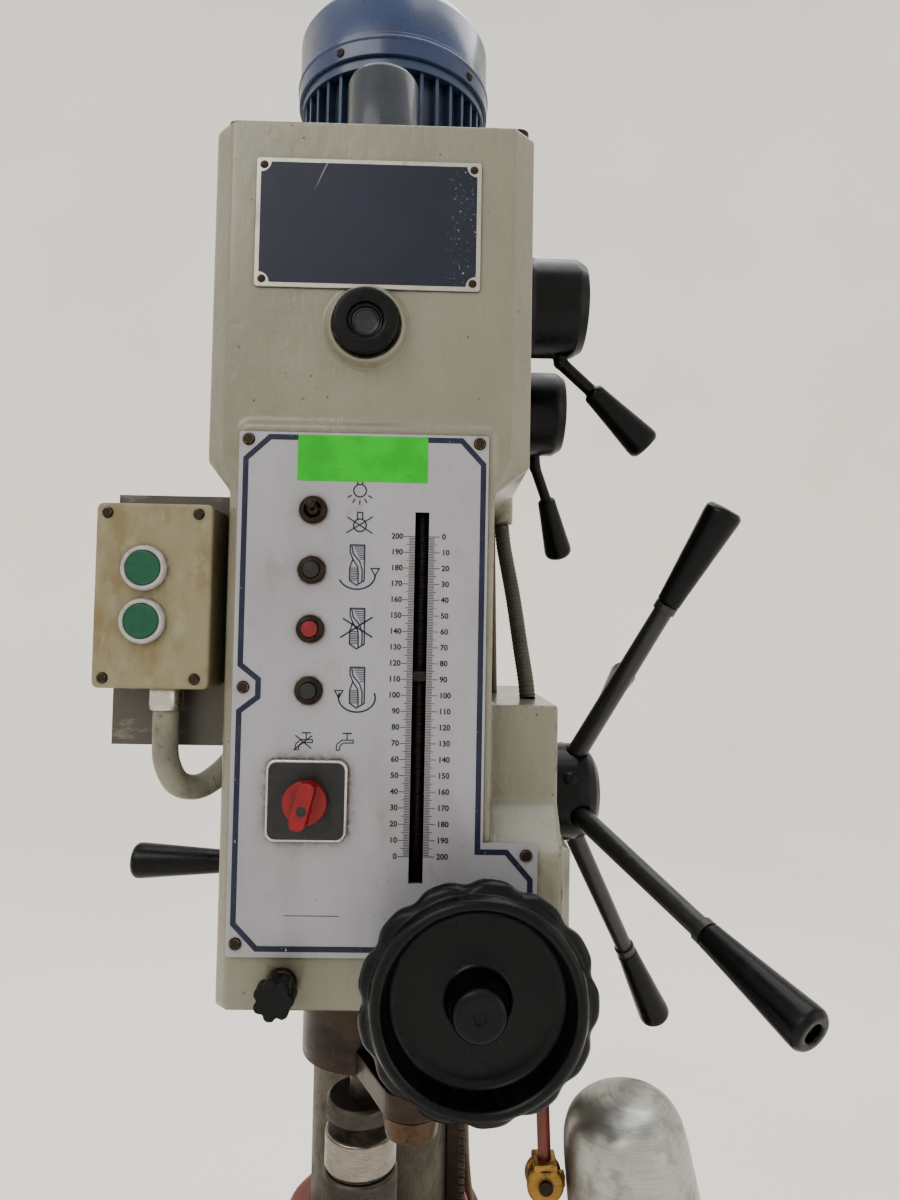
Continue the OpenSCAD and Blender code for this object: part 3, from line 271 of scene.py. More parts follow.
def phenolic():
    """Moulded black phenolic resin: polished by hands, scuffed on its high places, dusty on top."""
    gloss = 0.26
    f = Finish("black_phenolic", colour(5, 7, 12), gloss)
    f.rounded(1.2 * MM)
    f.paint(f.patches(0.42, 0.70, 0.03, 5), colour(9, 11, 16), gloss + 0.16)
    f.paint(f.both(f.facing_up(), f.patches(0.46, 0.72, 5 * MM, 6)), colour(46, 48, 52), 0.55, share=0.22)
    marks = f.patches(0.66, 0.74, 1.4 * MM, 4, (1, 5, 1), 0.6, 1.5)
    f.paint(marks, colour(48, 50, 54), 0.5, share=0.4)
    f.paint(f.both(f.edges(1 * MM), f.patches(0.50, 0.64, 2 * MM, 6, soft=0.7)), colour(62, 62, 64), 0.5,
            share=0.5)
    f.bump(f.noise(2.4 * MM, 4), 0.10 * MM, 0.45)
    f.bump(f.noise(0.025, 2), 0.8 * MM, 0.25)
    return f.done(Coat_Weight=0.08, Coat_Roughness=0.14, Specular_IOR_Level=0.26)


def enamel(name, base, dark, rough=0.3, chips=0.6):
    """Smooth sprayed enamel with soft orange peel, chipped edges, and soot and painted shade in its corners."""
    f = Finish(name, base, rough)
    f.rounded(1.4 * MM)
    f.paint(f.patches(0.38, 0.68, 0.045, 5), dark, rough + 0.12)
    f.paint(f.both(f.facing_up(), f.patches(0.42, 0.7, 8 * MM, 5)), colour(96, 92, 84), 0.7, share=0.2)
    # Soot and painted shade in corners and gaps.
    f.paint(f.both(f.crevices(8 * MM), f.patches(0.3, 0.6, 6 * MM, 5)), SOOT_AND_SHADE, 0.7, share=0.6)
    worn = f.both(f.edges(1.3 * MM), f.patches(chips, chips + 0.06, 4 * MM, 7, soft=0.75))
    f.paint(worn, colour(120, 112, 102), 0.5, 0.5)
    f.paint(f.both(f.speckle(11 * MM, 0.04, 0.10), f.patches(0.55, 0.65, 0.03, 3)), RUST, 0.7)
    f.bump(f.noise(1.3 * MM, 3), 0.10 * MM, 0.5)
    f.bump(worn, -0.2 * MM)
    return f.done(Coat_Weight=0.45, Coat_Roughness=0.14)


def machined(name, base, rough=0.3, stretch=(1, 1, 30), stain=RUST, amount=0.60):
    """Turned or ground steel: fine tool lines, oil film, a little rust, and painted shade in its corners."""
    f = Finish(name, base, rough, 1.0)
    f.rounded(0.5 * MM)
    lines = f.noise(0.3 * MM, 2, stretch)
    f.paint(f.between(lines, 0.35, 0.75), dimmed(base, 0.62), rough + 0.12)
    f.paint(f.patches(0.46, 0.72, 0.03, 6, soft=0.65), dimmed(base, 0.7), rough + 0.2)
    f.paint(f.between(f.noise(0.012, 7, soft=0.72), amount, amount + 0.13), stain, 0.75, 0.25, share=0.75)
    # Painted shade: darker in corners and gaps.
    f.paint(f.crevices(4 * MM), SOOT_AND_SHADE, 0.7, 0.2, share=0.65)
    f.paint(f.both(f.edges(0.7 * MM), f.patches(0.4, 0.6, 2 * MM, 4)), colour(200, 198, 192), 0.25,
            share=0.6)
    f.bump(lines, 0.03 * MM, 0.6)
    f.bump(f.noise(1.5 * MM, 4), 0.05 * MM, 0.4)
    return f.done()


def aged_plastic():
    """Yellowed moulded plastic, cleaner where hands rub it and brown where it was left alone, with grime and painted
    shade in its corners.
    """
    f = Finish("aged_plastic", colour(134, 128, 104), 0.46)
    f.rounded(1.5 * MM)
    f.paint(f.patches(0.46, 0.70, 0.03, 6, (1, 1, 1.5), 0.65), colour(118, 102, 72), 0.55, share=0.8)
    f.paint(f.patches(0.50, 0.70, 0.014, 6, (1, 1, 2.2), 0.7), colour(148, 144, 126), 0.4, share=0.8)
    # Grime and painted shade in corners and gaps.
    f.paint(f.both(f.crevices(10 * MM), f.patches(0.3, 0.6, 4 * MM, 5)), colour(96, 74, 48), 0.7, share=0.8)
    f.paint(f.both(f.edges(1.5 * MM), f.patches(0.5, 0.65, 3 * MM, 6)), colour(120, 96, 66), 0.6, share=0.6)
    f.bump(f.noise(0.5 * MM, 2), 0.06 * MM, 0.5)
    return f.done(Subsurface_Weight=0.03, Subsurface_Scale=0.004)


def moulded(name, base, rough=0.32, grime_and_painted_shade=0.5):
    """Clean moulded plastic of one colour, with handling marks, and soot and painted shade in its corners."""
    f = Finish(name, base, rough)
    f.rounded(0.7 * MM)
    f.paint(f.patches(0.4, 0.7, 6 * MM, 5), dimmed(base, 0.72), rough + 0.12)
    # Soot and painted shade in corners and gaps.
    f.paint(f.both(f.crevices(4 * MM), f.patches(0.35, 0.6, 2 * MM, 4)), SOOT_AND_SHADE, 0.7, share=grime_and_painted_shade)
    f.paint(f.patches(0.64, 0.72, 1.2 * MM, 5, (1, 1, 4), 0.6, 1.0), colour(70, 62, 58), 0.55, share=grime_and_painted_shade)
    f.bump(f.noise(0.8 * MM, 3), 0.05 * MM, 0.5)
    return f.done(Coat_Weight=0.2, Coat_Roughness=0.2)


def sheet_steel():
    f = Finish("dull_sheet_steel", colour(94, 92, 88), 0.42, 0.75)
    f.rounded(0.6 * MM)
    f.paint(f.patches(0.4, 0.7, 0.05, 5, (1, 1, 1.7)), colour(84, 82, 80), 0.55)
    f.paint(f.patches(0.57, 0.72, 0.012, 6, (2.5, 2.5, 1), 0.7), colour(132, 126, 116), 0.6, 0.4, share=0.7)
    f.paint(f.both(f.edges(1 * MM), f.patches(0.45, 0.6, 3 * MM, 5)), RUST, 0.7, 0.2, share=0.7)
    f.bump(f.noise(0.4 * MM, 2, (40, 40, 1)), 0.03 * MM, 0.5)
    return f.done()


def hose_skin(name, base):
    """Grey sleeve of a conduit or cable, greasy and rubbed, with painted shade in its folds and gaps."""
    f = Finish(name, base, 0.5)
    f.paint(f.patches(0.4, 0.7, 0.02, 5, (1, 1, 2)), dimmed(base, 0.6), 0.42)
    f.paint(f.patches(0.58, 0.72, 4 * MM, 5), colour(64, 58, 48), 0.65, share=0.6)
    # Painted shade: darker in folds and gaps.
    f.paint(f.crevices(6 * MM), SOOT_AND_SHADE, 0.7, share=0.5)
    f.bump(f.noise(1.2 * MM, 3), 0.08 * MM, 0.4)
    return f.done()


def spun_aluminium():
    """Spun lamp shade: fine rings, dents and dull oxide."""
    f = Finish("spun_aluminium", colour(176, 176, 174), 0.34, 0.92)
    rings = f.noise(0.5 * MM, 2, (60, 60, 1))
    f.paint(f.between(rings, 0.35, 0.75), colour(150, 150, 148), 0.42, share=0.7)
    f.paint(f.patches(0.48, 0.70, 0.018, 6, soft=0.7), colour(142, 140, 136), 0.52, share=0.8)
    f.paint(f.patches(0.66, 0.74, 1.6 * MM, 4, (1, 1, 3), 0.6, 1.4), colour(214, 214, 212), 0.25, share=0.7)
    f.bump(f.noise(0.012, 3), 0.9 * MM, 0.3)
    f.bump(f.noise(2 * MM, 4), 0.10 * MM, 0.4)
    f.bump(rings, 0.02 * MM, 0.5)
    return f.done()


def plate_navy():
    """The name plate's enamel field, scratched through to the metal."""
    f = Finish("plate_navy", colour(12, 21, 42), 0.4)
    f.paint(f.patches(0.4, 0.7, 0.03, 5), colour(18, 28, 50), 0.5)
    slanted = f.node("ShaderNodeMapping", {"Vector": f.place, "Rotation": (0, math.radians(-24), 0)}).outputs[0]
    stretched = f.node("ShaderNodeMapping", {"Vector": slanted, "Scale": (260, 1, 5)}).outputs[0]
    long_marks = f.node("ShaderNodeTexNoise", {"Vector": stretched, "Scale": 1.0, "Detail": 1.0}).outputs[0]
    f.paint(f.between(long_marks, 0.74, 0.77), colour(120, 122, 128), 0.45, share=0.8)
    chips = f.both(f.patches(0.61, 0.64, 2.6 * MM, 6, soft=0.75), f.between(f.height(0), 0.045, 0.062))
    f.paint(chips, colour(196, 196, 194), 0.4)
    f.paint(f.patches(0.68, 0.71, 3 * MM, 7, soft=0.75), colour(186, 186, 186), 0.4)
    f.bump(chips, -0.08 * MM)
    return f.done()


def oil_lens():
    f = Finish("oil_sight_lens", colour(20, 22, 30), 0.22)
    f.paint(f.patches(0.4, 0.7, 6 * MM, 4), colour(34, 32, 36), 0.3)
    f.paint(f.patches(0.62, 0.7, 1.5 * MM, 4), colour(60, 58, 58), 0.4, share=0.5)
    return f.done(Coat_Weight=0.3, Coat_Roughness=0.15)


def opal_glass():
    f = Finish("opal_glass", colour(226, 222, 210), 0.2)
    f.paint(f.patches(0.4, 0.7, 0.01, 3), colour(206, 200, 186), 0.3)
    f.bump(f.noise(3 * MM, 2), 0.05 * MM, 0.3)
    return f.done(Coat_Weight=0.6, Coat_Roughness=0.05)


def blank_label():
    """Bright adhesive label with its wording left out: creased and grubby at its edges."""
    f = Finish("green_label", colour(20, 178, 26), 0.42)
    f.paint(f.patches(0.4, 0.7, 0.02, 5), colour(16, 156, 22), 0.5)
    f.paint(f.patches(0.69, 0.73, 1.6 * MM, 4, (30, 1, 1), 0.6, 0.6), colour(150, 206, 140), 0.5, share=0.6)
    f.paint(f.patches(0.66, 0.70, 2 * MM, 6, soft=0.7), colour(56, 92, 48), 0.6, share=0.7)
    f.bump(f.noise(0.012, 2), 0.25 * MM, 0.4)
    return f.done(Coat_Weight=0.3, Coat_Roughness=0.3)


def quill_steel():
    """Oiled quill and nut, browned by years of cutting fluid, with painted shade in their corners."""
    f = Finish("browned_quill", colour(62, 50, 42), 0.34, 0.85)
    f.rounded(0.7 * MM)
    f.paint(f.patches(0.4, 0.68, 0.03, 5, (1, 1, 0.4)), colour(38, 33, 31), 0.42)
    f.paint(f.patches(0.4, 0.75, 0.3 * MM, 2, (50, 50, 1)), colour(46, 38, 33), 0.45, share=0.6)
    f.paint(f.patches(0.58, 0.70, 0.01, 6, soft=0.7), RUST, 0.6, 0.3, share=0.6)
    f.paint(f.both(f.edges(0.8 * MM), f.patches(0.4, 0.6, 2 * MM, 4)), colour(170, 158, 142), 0.3)
    # Painted shade: darker in corners and gaps.
    f.paint(f.crevices(5 * MM), SOOT_AND_SHADE, 0.6, share=0.6)
    f.bump(f.noise(1.2 * MM, 4), 0.06 * MM, 0.5)
    return f.done(Coat_Weight=0.3, Coat_Roughness=0.2)


def depth_rod_steel():
    """Blackened rod behind the panel, worn brown below the head where the oil reaches it."""
    f = Finish("blackened_rod", colour(30, 30, 32), 0.4, 0.4)
    f.rounded(0.4 * MM)
    f.paint(f.between(f.height(2), 0.800, 0.790), colour(88, 70, 56), 0.36, 0.8)
    f.paint(f.patches(0.50, 0.66, 0.012, 6, soft=0.7), colour(48, 38, 32), 0.55, share=0.7)
    f.paint(f.both(f.edges(0.6 * MM), f.patches(0.42, 0.6, 2 * MM, 4)), colour(112, 106, 98), 0.35, share=0.5)
    f.bump(f.noise(1.2 * MM, 4), 0.05 * MM, 0.5)
    return f.done()


CREAM = cream_enamel()
PANEL_METAL = panel_metal()
NAVY_INK = print_ink("navy_ink", colour(17, 25, 52), 0.012)
BLACK_INK = print_ink("black_ink", colour(22, 23, 32), -0.02)
PHENOLIC = phenolic()
MOTOR_BLUE = enamel("motor_blue", colour(32, 52, 92), colour(24, 40, 74), 0.24, 0.62)
FIN_BLUE = enamel("fin_blue", colour(44, 62, 92), colour(32, 46, 70), 0.36, 0.66)
BRACKET_RED = enamel("bracket_red", colour(132, 30, 26), colour(96, 24, 22), 0.34, 0.52)
LAMP_RED = enamel("lamp_tube_red", colour(112, 32, 24), colour(74, 26, 20), 0.34, 0.50)
BLACK_ENAMEL = enamel("black_enamel", colour(22, 23, 27), colour(14, 15, 18), 0.36, 0.56)
COVER_GREY = enamel("cover_grey", colour(36, 45, 58), colour(28, 34, 44), 0.5, 0.60)
STEEL = machined("ground_steel", colour(150, 148, 142), 0.28)
COLUMN_STEEL = machined("column_steel", colour(100, 96, 88), 0.42, (1, 1, 30), colour(64, 52, 42), 0.54)
TURNED = machined("turned_steel", colour(150, 148, 142), 0.3, (40, 40, 1))
DARK_STEEL = machined("dark_steel", colour(84, 80, 76), 0.42, (20, 20, 1), RUST, 0.54)
CHUCK_STEEL = machined("chuck_steel", colour(92, 88, 84), 0.36, (30, 30, 1), colour(60, 44, 34), 0.55)
CHUCK_RING = machined("chuck_ring", colour(150, 144, 136), 0.24, (30, 30, 1), colour(86, 66, 50), 0.62)
CHUCK_BAND = machined("chuck_band", colour(44, 40, 38), 0.5, (30, 30, 1), colour(50, 36, 28), 0.50)
IRON = machined("table_iron", colour(120, 118, 114), 0.36, (1, 50, 1), colour(72, 52, 38), 0.52)
BRONZE = machined("gear_bronze", colour(166, 124, 66), 0.34, (30, 30, 1), colour(84, 62, 34), 0.58)
BRASS = machined("lamp_brass", colour(168, 134, 82), 0.36, (14, 14, 1), colour(86, 66, 42), 0.50)
QUILL = quill_steel()
ROD = depth_rod_steel()
PLASTIC = aged_plastic()
SHEET = sheet_steel()
RED_PLASTIC = moulded("red_plastic", colour(138, 18, 24), 0.3, 0.55)
STOP_RED = moulded("stop_red", colour(124, 24, 32), 0.36, 0.6)
GREEN_PLASTIC = moulded("green_plastic", colour(4, 80, 58), 0.34, 0.3)
BUTTON_BLACK = moulded("button_black", colour(26, 28, 34), 0.3, 0.5)
SWITCH_BLACK = moulded("switch_black", colour(30, 31, 35), 0.42, 0.45)
SATIN_RING = moulded("satin_ring", colour(168, 168, 166), 0.34, 0.5)
RING_RUST = machined("rusted_ring", colour(66, 59, 52), 0.42, (1, 1, 1), colour(58, 42, 30), 0.46)
SCREW = machined("screw_steel", colour(70, 62, 54), 0.36, (1, 1, 1), colour(48, 34, 26), 0.48)
CHROME = machined("worn_chrome", colour(206, 202, 194), 0.18, (8, 8, 1), colour(112, 88, 62), 0.60)
CONDUIT = hose_skin("conduit_grey", colour(134, 132, 120))
ARMOUR = hose_skin("armoured_grey", colour(74, 71, 63))
CABLE = hose_skin("cable_tan", colour(104, 90, 70))
SHADE = spun_aluminium()
PLATE_NAVY = plate_navy()
PLATE_EDGE = machined("plate_edge", colour(186, 184, 178), 0.34, (1, 1, 1), colour(110, 96, 80), 0.60)
LENS = oil_lens()
GLASS = opal_glass()
LABEL = blank_label()

NODE_FINISH = {
    CREAM: ["head_casting", "gearbox_cover", "base_plate", "column_flange"],
    COLUMN_STEEL: ["column"],
    STEEL: ["spindle", "elevating_worm", "pinion_shaft", "worm_shaft"],
    TURNED: ["shaft_bearings", "quill_bearings", "elevating_gear", "motor_rotor", "counter_gears", "drive_gear"],
    DARK_STEEL: ["rack_collars", "column_rack", "return_spring", "crank_arm"],
    SCREW: ["fasteners", "lamp_toggle"],
    PANEL_METAL: ["front_panel"],
    PLATE_NAVY: ["name_plate"],
    PHENOLIC: ["handwheel", "capstan_grips", "quill_clamp_lever", "lock_knob", "crank_grip", "capstan_hub",
               "table_clamp_lever", "sight_glass", "upper_gear_lever", "lower_gear_lever", "spring_cover"],
    BLACK_ENAMEL: ["capstan_arms", "terminal_boxes", "control_bezels"],
    ROD: ["depth_rod"],
    FIN_BLUE: ["motor_housing"],
    MOTOR_BLUE: ["motor_cowl"],
    COVER_GREY: ["spindle_cover"],
    SHEET: ["station_plate"],
    PLASTIC: ["station_box"],
    ARMOUR: ["conduits"],
    CABLE: ["base_cables"],
    BRACKET_RED: ["table_bracket"],
    IRON: ["table_plate"],
    QUILL: ["quill", "depth_arm"],
    CHUCK_STEEL: ["chuck_body", "chuck_sleeve"],
    BRONZE: ["worm_wheel"],
    RED_PLASTIC: ["rotary_knob"],
    BUTTON_BLACK: ["forward_button", "reverse_button"],
    STOP_RED: ["stop_button"],
    GREEN_PLASTIC: ["station_upper_button", "station_lower_button"],
    LAMP_RED: ["lamp_arm"],
    SHADE: ["lamp_shade"],
}

# Voxel size of the nodes whose edges are cast or moulded round, and how often they are smoothed
CAST = {
    "head_casting": (2.0, 3), "gearbox_cover": (2.0, 3), "base_plate": (3.5, 6), "column_flange": (2.5, 5),
    "table_bracket": (2.5, 8), "station_box": (0.9, 6), "capstan_hub": (1.0, 8),
    "upper_gear_lever": (1.1, 8), "lower_gear_lever": (1.1, 8), "quill_clamp_lever": (0.9, 6),
    "lock_knob": (0.6, 6), "rotary_knob": (0.5, 4), "depth_arm": (0.9, 5), "crank_grip": (0.9, 5),
    "table_clamp_lever": (1.0, 6), "capstan_grips": (0.9, 6), "crank_arm": (1.0, 5),
}


def finish_nodes():
    """Gives each CAD node its material and smooth shading, and rounds the cast and moulded ones."""
    for material, names in NODE_FINISH.items():
        for name in names:
            node = NODES[name]
            node.data.materials.clear()
            node.data.materials.append(material)
            for face in node.data.polygons:
                face.material_index = 0
                face.use_smooth = True
            if node.data.has_custom_normals:
                node.data.attributes.remove(node.data.attributes["custom_normal"])
            if name in CAST:
                size, rounds = CAST[name]
                cast = node.modifiers.new("cast", "REMESH")
                cast.mode = "VOXEL"
                cast.voxel_size = size * MM
                cast.use_smooth_shade = True
                soft = node.modifiers.new("soft", "SMOOTH")
                soft.iterations = rounds
                soft.factor = 0.5
            else:
                weld = node.modifiers.new("weld", "WELD")
                weld.merge_threshold = 0.004 * MM
                split = node.modifiers.new("sharp", "EDGE_SPLIT")
                split.split_angle = math.radians(34)
                split.use_edge_sharp = False


# ---- Shapes ----

def added(name, data):
    """A new object of the scene."""
    made = bpy.data.objects.new(name, data)
    bpy.context.scene.collection.objects.link(made)
    return made


def rings_joined(count, around):
    """The faces of a tube made of count rings of around points."""
    faces = []
    for i in range(count - 1):
        for k in range(around):
            j = (k + 1) % around
            faces.append((i * around + k, i * around + j, (i + 1) * around + j, (i + 1) * around + k))
    return faces


def end_faces(count, around):
    return [tuple(range(around - 1, -1, -1)), tuple((count - 1) * around + k for k in range(around))]


def piece(name, points, faces, material, body, replaces=(), sharp=32, bevel=0.0):
    """A mesh piece in the frame's own coordinates, riding on a body."""
    mesh = bpy.data.meshes.new(name)
    mesh.from_pydata([tuple(p) for p in points], [], faces)
    mesh.materials.append(material)
    mesh.shade_smooth()
    mesh.set_sharp_from_angle(angle=math.radians(sharp))
    made = added(name, mesh)
    if bevel:
        round_off = made.modifiers.new("round", "BEVEL")
        round_off.width = bevel
        round_off.segments = 3
        round_off.limit_method = "ANGLE"
    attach(made, body)
    if replaces:
        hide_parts(*replaces)
    return made


def towards_viewer(x, y, z):
    """A place whose local Z points forward, along -Y."""
    return Matrix.Translation((x, y, z)) @ Matrix.Rotation(math.radians(90), 4, "X")


def upright(x, y, z):
    return Matrix.Translation((x, y, z))


def rounded(profile, radius, steps=4):
    """A profile with its inner corners turned into short curves."""
    made = [profile[0]]
    for before, corner, after in zip(profile, profile[1:], profile[2:]):
        corner = Vector(corner)
        back, on = Vector(before) - corner, Vector(after) - corner
        reach = min(radius, back.length * 0.45, on.length * 0.45)
        start, end = corner + back.normalized() * reach, corner + on.normalized() * reach
        for i in range(steps + 1):
            t = i / steps
            made.append(tuple(start * (1 - t) ** 2 + corner * 2 * t * (1 - t) + end * t ** 2))
    return made + [profile[-1]]


def turned(name, profile, place, material, body, replaces=(), around=96, relief=None, sharp=40):
    """A solid of revolution. The profile is [radius, height] along the place's Z, in mm.
    relief(turn, radius, height) is how far the surface is moved out, in mm."""
    points = []
    for radius, height in profile:
        for k in range(around):
            turn = 2 * math.pi * k / around
            r = radius + (relief(turn, radius, height) if relief else 0.0)
            points.append(place @ Vector((r * math.cos(turn) * MM, r * math.sin(turn) * MM, height * MM)))
    faces = rings_joined(len(profile), around)
    if tuple(profile[0]) != tuple(profile[-1]):
        faces += end_faces(len(profile), around)
    else:
        last = len(profile) - 1
        faces = [tuple(p - last * around if p >= last * around else p for p in face) for face in faces]
        points = points[:last * around]
    return piece(name, points, faces, material, body, replaces, sharp)


def smooth_line(points, steps):
    """Points on a smooth curve through the route's points, given in mm."""
    route = [Vector(p) * MM for p in points]
    line = []
    for i in range(len(route) - 1):
        a, b, c, d = (route[min(max(i + k, 0), len(route) - 1)] for k in (-1, 0, 1, 2))
        for k in range(steps):
            t = k / steps
            line.append(0.5 * (2 * b + (c - a) * t + (2 * a - 5 * b + 4 * c - d) * t ** 2
                               + (3 * b - a - 3 * c + d) * t ** 3))
    return line + [route[-1]]


def swept(name, route, radius, material, body, replaces=(), steps=12, sides=20, ridge=0.0, pitch=4.0):
    """A tube along a route. Ridges of the given height, in mm, repeat every pitch."""
    line = smooth_line(route, steps)
    points, along, side = [], 0.0, None
    for i, at in enumerate(line):
        heading = (line[min(i + 1, len(line) - 1)] - line[max(i - 1, 0)]).normalized()
        if side is None:
            side = heading.orthogonal().normalized()
        side = (side - heading * side.dot(heading)).normalized()
        across = heading.cross(side)
        along += (at - line[i - 1]).length / MM if i else 0.0
        r = (radius + ridge * math.cos(2 * math.pi * along / pitch)) * MM
        for k in range(sides):
            turn = 2 * math.pi * k / sides
            points.append(at + (side * math.cos(turn) + across * math.sin(turn)) * r)
    faces = rings_joined(len(line), sides) + end_faces(len(line), sides)
    return piece(name, points, faces, material, body, replaces, 60)


def front_prism(name, outline, back, front, material, body, replaces=(), bevel=0.0, sharp=32):
    """An outline of [x, z] in mm, drawn from the back plane to the front one (both on Y, in metres)."""
    n = len(outline)
    points = [(x * MM, y, z * MM) for y in (front, back) for x, z in outline]
    faces = [tuple(range(n)), tuple(range(2 * n - 1, n - 1, -1))]
    faces += [(k, k + n, (k + 1) % n + n, (k + 1) % n) for k in range(n)]
    return piece(name, points, faces, material, body, replaces, sharp, bevel)


def rounded_box(x0, x1, z0, z1, r, steps=6):
    """Outline of a rectangle with round corners, anticlockwise."""
    made = []
    for cx, cz, start in ((x1 - r, z0 + r, -90), (x1 - r, z1 - r, 0), (x0 + r, z1 - r, 90), (x0 + r, z0 + r, 180)):
        for k in range(steps + 1):
            a = math.radians(start + 90 * k / steps)
            made.append((cx + r * math.cos(a), cz + r * math.sin(a)))
    return made


class Print:
    """Flat ink on a front-facing plane: strokes and dots in mm, gathered into one mesh."""

    def __init__(self, plane, thick=0.10):
        self.front, self.back = plane - thick * MM, plane
        self.points, self.faces = [], []

    def quad(self, corners):
        n = len(self.points)
        for y in (self.front, self.back):
            self.points += [(x * MM, y, z * MM) for x, z in corners]
        self.faces += [(n, n + 1, n + 2, n + 3), (n + 7, n + 6, n + 5, n + 4)]
        self.faces += [(n + k, n + k + 4, n + (k + 1) % 4 + 4, n + (k + 1) % 4) for k in range(4)]

    def bar(self, x0, x1, z0, z1):
        self.quad([(x0, z0), (x1, z0), (x1, z1), (x0, z1)])

    def stroke(self, line, width, closed=False):
        """A line with mitred corners."""
        pts = [Vector(p) for p in line]
        n = len(pts)
        left, right = [], []
        for i, p in enumerate(pts):
            before = (p - pts[i - 1]).normalized() if i or closed else None
            after = (pts[(i + 1) % n] - p).normalized() if i < n - 1 or closed else None
            before, after = before or after, after or before
            normal = Vector((-before.y - after.y, before.x + after.x)).normalized()
            reach = width / 2 / max(0.35, normal.dot(Vector((-before.y, before.x))))
            left.append(p + normal * reach)
            right.append(p - normal * reach)
        for i in range(n if closed else n - 1):
            j = (i + 1) % n
            self.quad([right[i], right[j], left[j], left[i]])

    def curve(self, x, z, radius, start, end, width, squash=1.0, steps=24):
        line = []
        for k in range(steps + 1):
            a = math.radians(start + (end - start) * k / steps)
            line.append((x + radius * math.cos(a), z + radius * squash * math.sin(a)))
        self.stroke(line, width)

    def made(self, name, material, slot="navy_plate"):
        return piece(name, self.points, self.faces, material, "root")


# ---- Front panel ----

def panel_border():
    """Printed line round the panel, with cut corners and a notch round the middle screw."""
    ink = Print(FACE_Y)
    left, right, top, low = PANEL_LEFT / MM + 4.4, 76.3, PANEL_TOP / MM - 3.3, PANEL_LOW / MM + 5.2
    step_x, step_z = PANEL[1].x / MM - 4.6, 863.4
    ink.stroke([(left, top - 14), (left + 15, top), (right - 14, top), (right, top - 15), (right, step_z),
                (step_x - 15, step_z), (step_x, step_z - 17), (step_x, low), (left + 14.5, low), (left, low + 15),
                (left, 948.5), (left + 11.5, 957.5), (left + 11.5, 968.5), (left, 977.5)], 3.4, closed=True)
    ink.made("panel_border", NAVY_INK)


def depth_scale():
    """Two opposed scales of 0 to 200 mm beside the slot."""
    ink = Print(FACE_Y)
    slot_left, slot_right = SLOT_X / MM - 4.5, SLOT_X / MM + 4.5
    zero, half = 1060, 0.17
    for mark in range(201):
        reach = 7.0 if mark % 10 == 0 else 5.0 if mark % 5 == 0 else 3.5
        z = zero - mark
        ink.bar(slot_left - reach, slot_left, z - half, z + half)
        ink.bar(slot_right, slot_right + reach, z - half, z + half)
    ink.made("depth_scale_ticks", BLACK_INK)
    for mark in range(0, 201, 10):
        number(mark, slot_right + 8.2, zero - mark, "LEFT")
        number(200 - mark, slot_left - 7.4, zero - mark, "RIGHT")


def number(value, x, z, align):
    text = bpy.data.curves.new(f"number_{align.lower()}_{value}", "FONT")
    text.body = str(value)
    text.size = 4.9 * MM
    text.align_x = align
    text.align_y = "CENTER"
    half_depth = 0.05 * MM
    text.extrude = half_depth
    text.offset = 0.10 * MM
    text.resolution_u = 3
    text.materials.append(BLACK_INK)
    made = added(text.name, text)
    made.matrix_world = towards_viewer(x * MM, FACE_Y - half_depth, z * MM)
    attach(made, "root")


def drill_sign(ink, x, z, turn):
    """A twist drill, with an arrow round it (turn 1 or -1) or crossed out (turn 0)."""
    w, line = 4.6, 0.75
    ink.stroke([(x - w, z + 12.5), (x + w, z + 12.5)], line)
    ink.stroke([(x - w, z + 12.5), (x - w, z + 8), (x - 2.8, z + 3.5), (x - w, z - 2), (x - w, z - 10),
                (x - 0.2, z - 13), (x + w, z - 10), (x + w, z + 12.5)], line)
    ink.stroke([(x - 3.6, z + 12), (x - 2.6, z + 7), (x + 1.6, z + 2), (x + 3.2, z - 3), (x + 3.2, z - 10.6)], line)
    ink.stroke([(x - 2.8, z + 3.5), (x + 0.4, z - 1.4), (x + 0.8, z - 6), (x + 0.8, z - 12.2)], line)
    for k in range(8):
        ink.bar(x - w + 0.3, x + 0.5, z - 10 + k * 1.1, z - 9.6 + k * 1.1)
        ink.bar(x - 2.4 + k * 0.6, x + w, z + 11.4 - k * 1.15, z + 11.8 - k * 1.15)
    if turn:
        ink.curve(x, z - 6.5, 11.5, -200 if turn < 0 else -160, 20 if turn < 0 else 0, 0.9, 0.78)
        tip = x + turn * 11.4
        ink.stroke([(tip - 2.6, z - 2.2), (tip + 2.6, z - 2.2), (tip, z - 6.8)], 0.7, closed=True)
    else:
        ink.stroke([(x - 10.5, z - 6), (x + 9.5, z + 7)], 0.9)
        ink.stroke([(x + 9.5, z - 5.5), (x - 9, z + 6)], 0.9)


def lamp_sign(ink, x, z, crossed):
    flip = 1 if crossed else -1
    ink.curve(x, z - flip * 1.5 if crossed else z, 4, 0, 360, 0.8)
    neck = z + (2.0 if crossed else 3.5)
    ink.stroke([(x - 1.6, neck), (x - 1.6, neck + 4.6), (x + 1.6, neck + 4.6), (x + 1.6, neck)], 0.75)
    if crossed:
        ink.stroke([(x - 8.5, z - 6.5), (x + 8, z + 4)], 0.7)
        ink.stroke([(x + 8, z - 6.5), (x - 8, z + 3.5)], 0.7)
    else:
        for a in (-150, -120, -90, -60, -30):
            c, s = math.cos(math.radians(a)), math.sin(math.radians(a))
            ink.stroke([(x + 6 * c, z + 6 * s), (x + 9 * c, z + 9 * s)], 0.75)


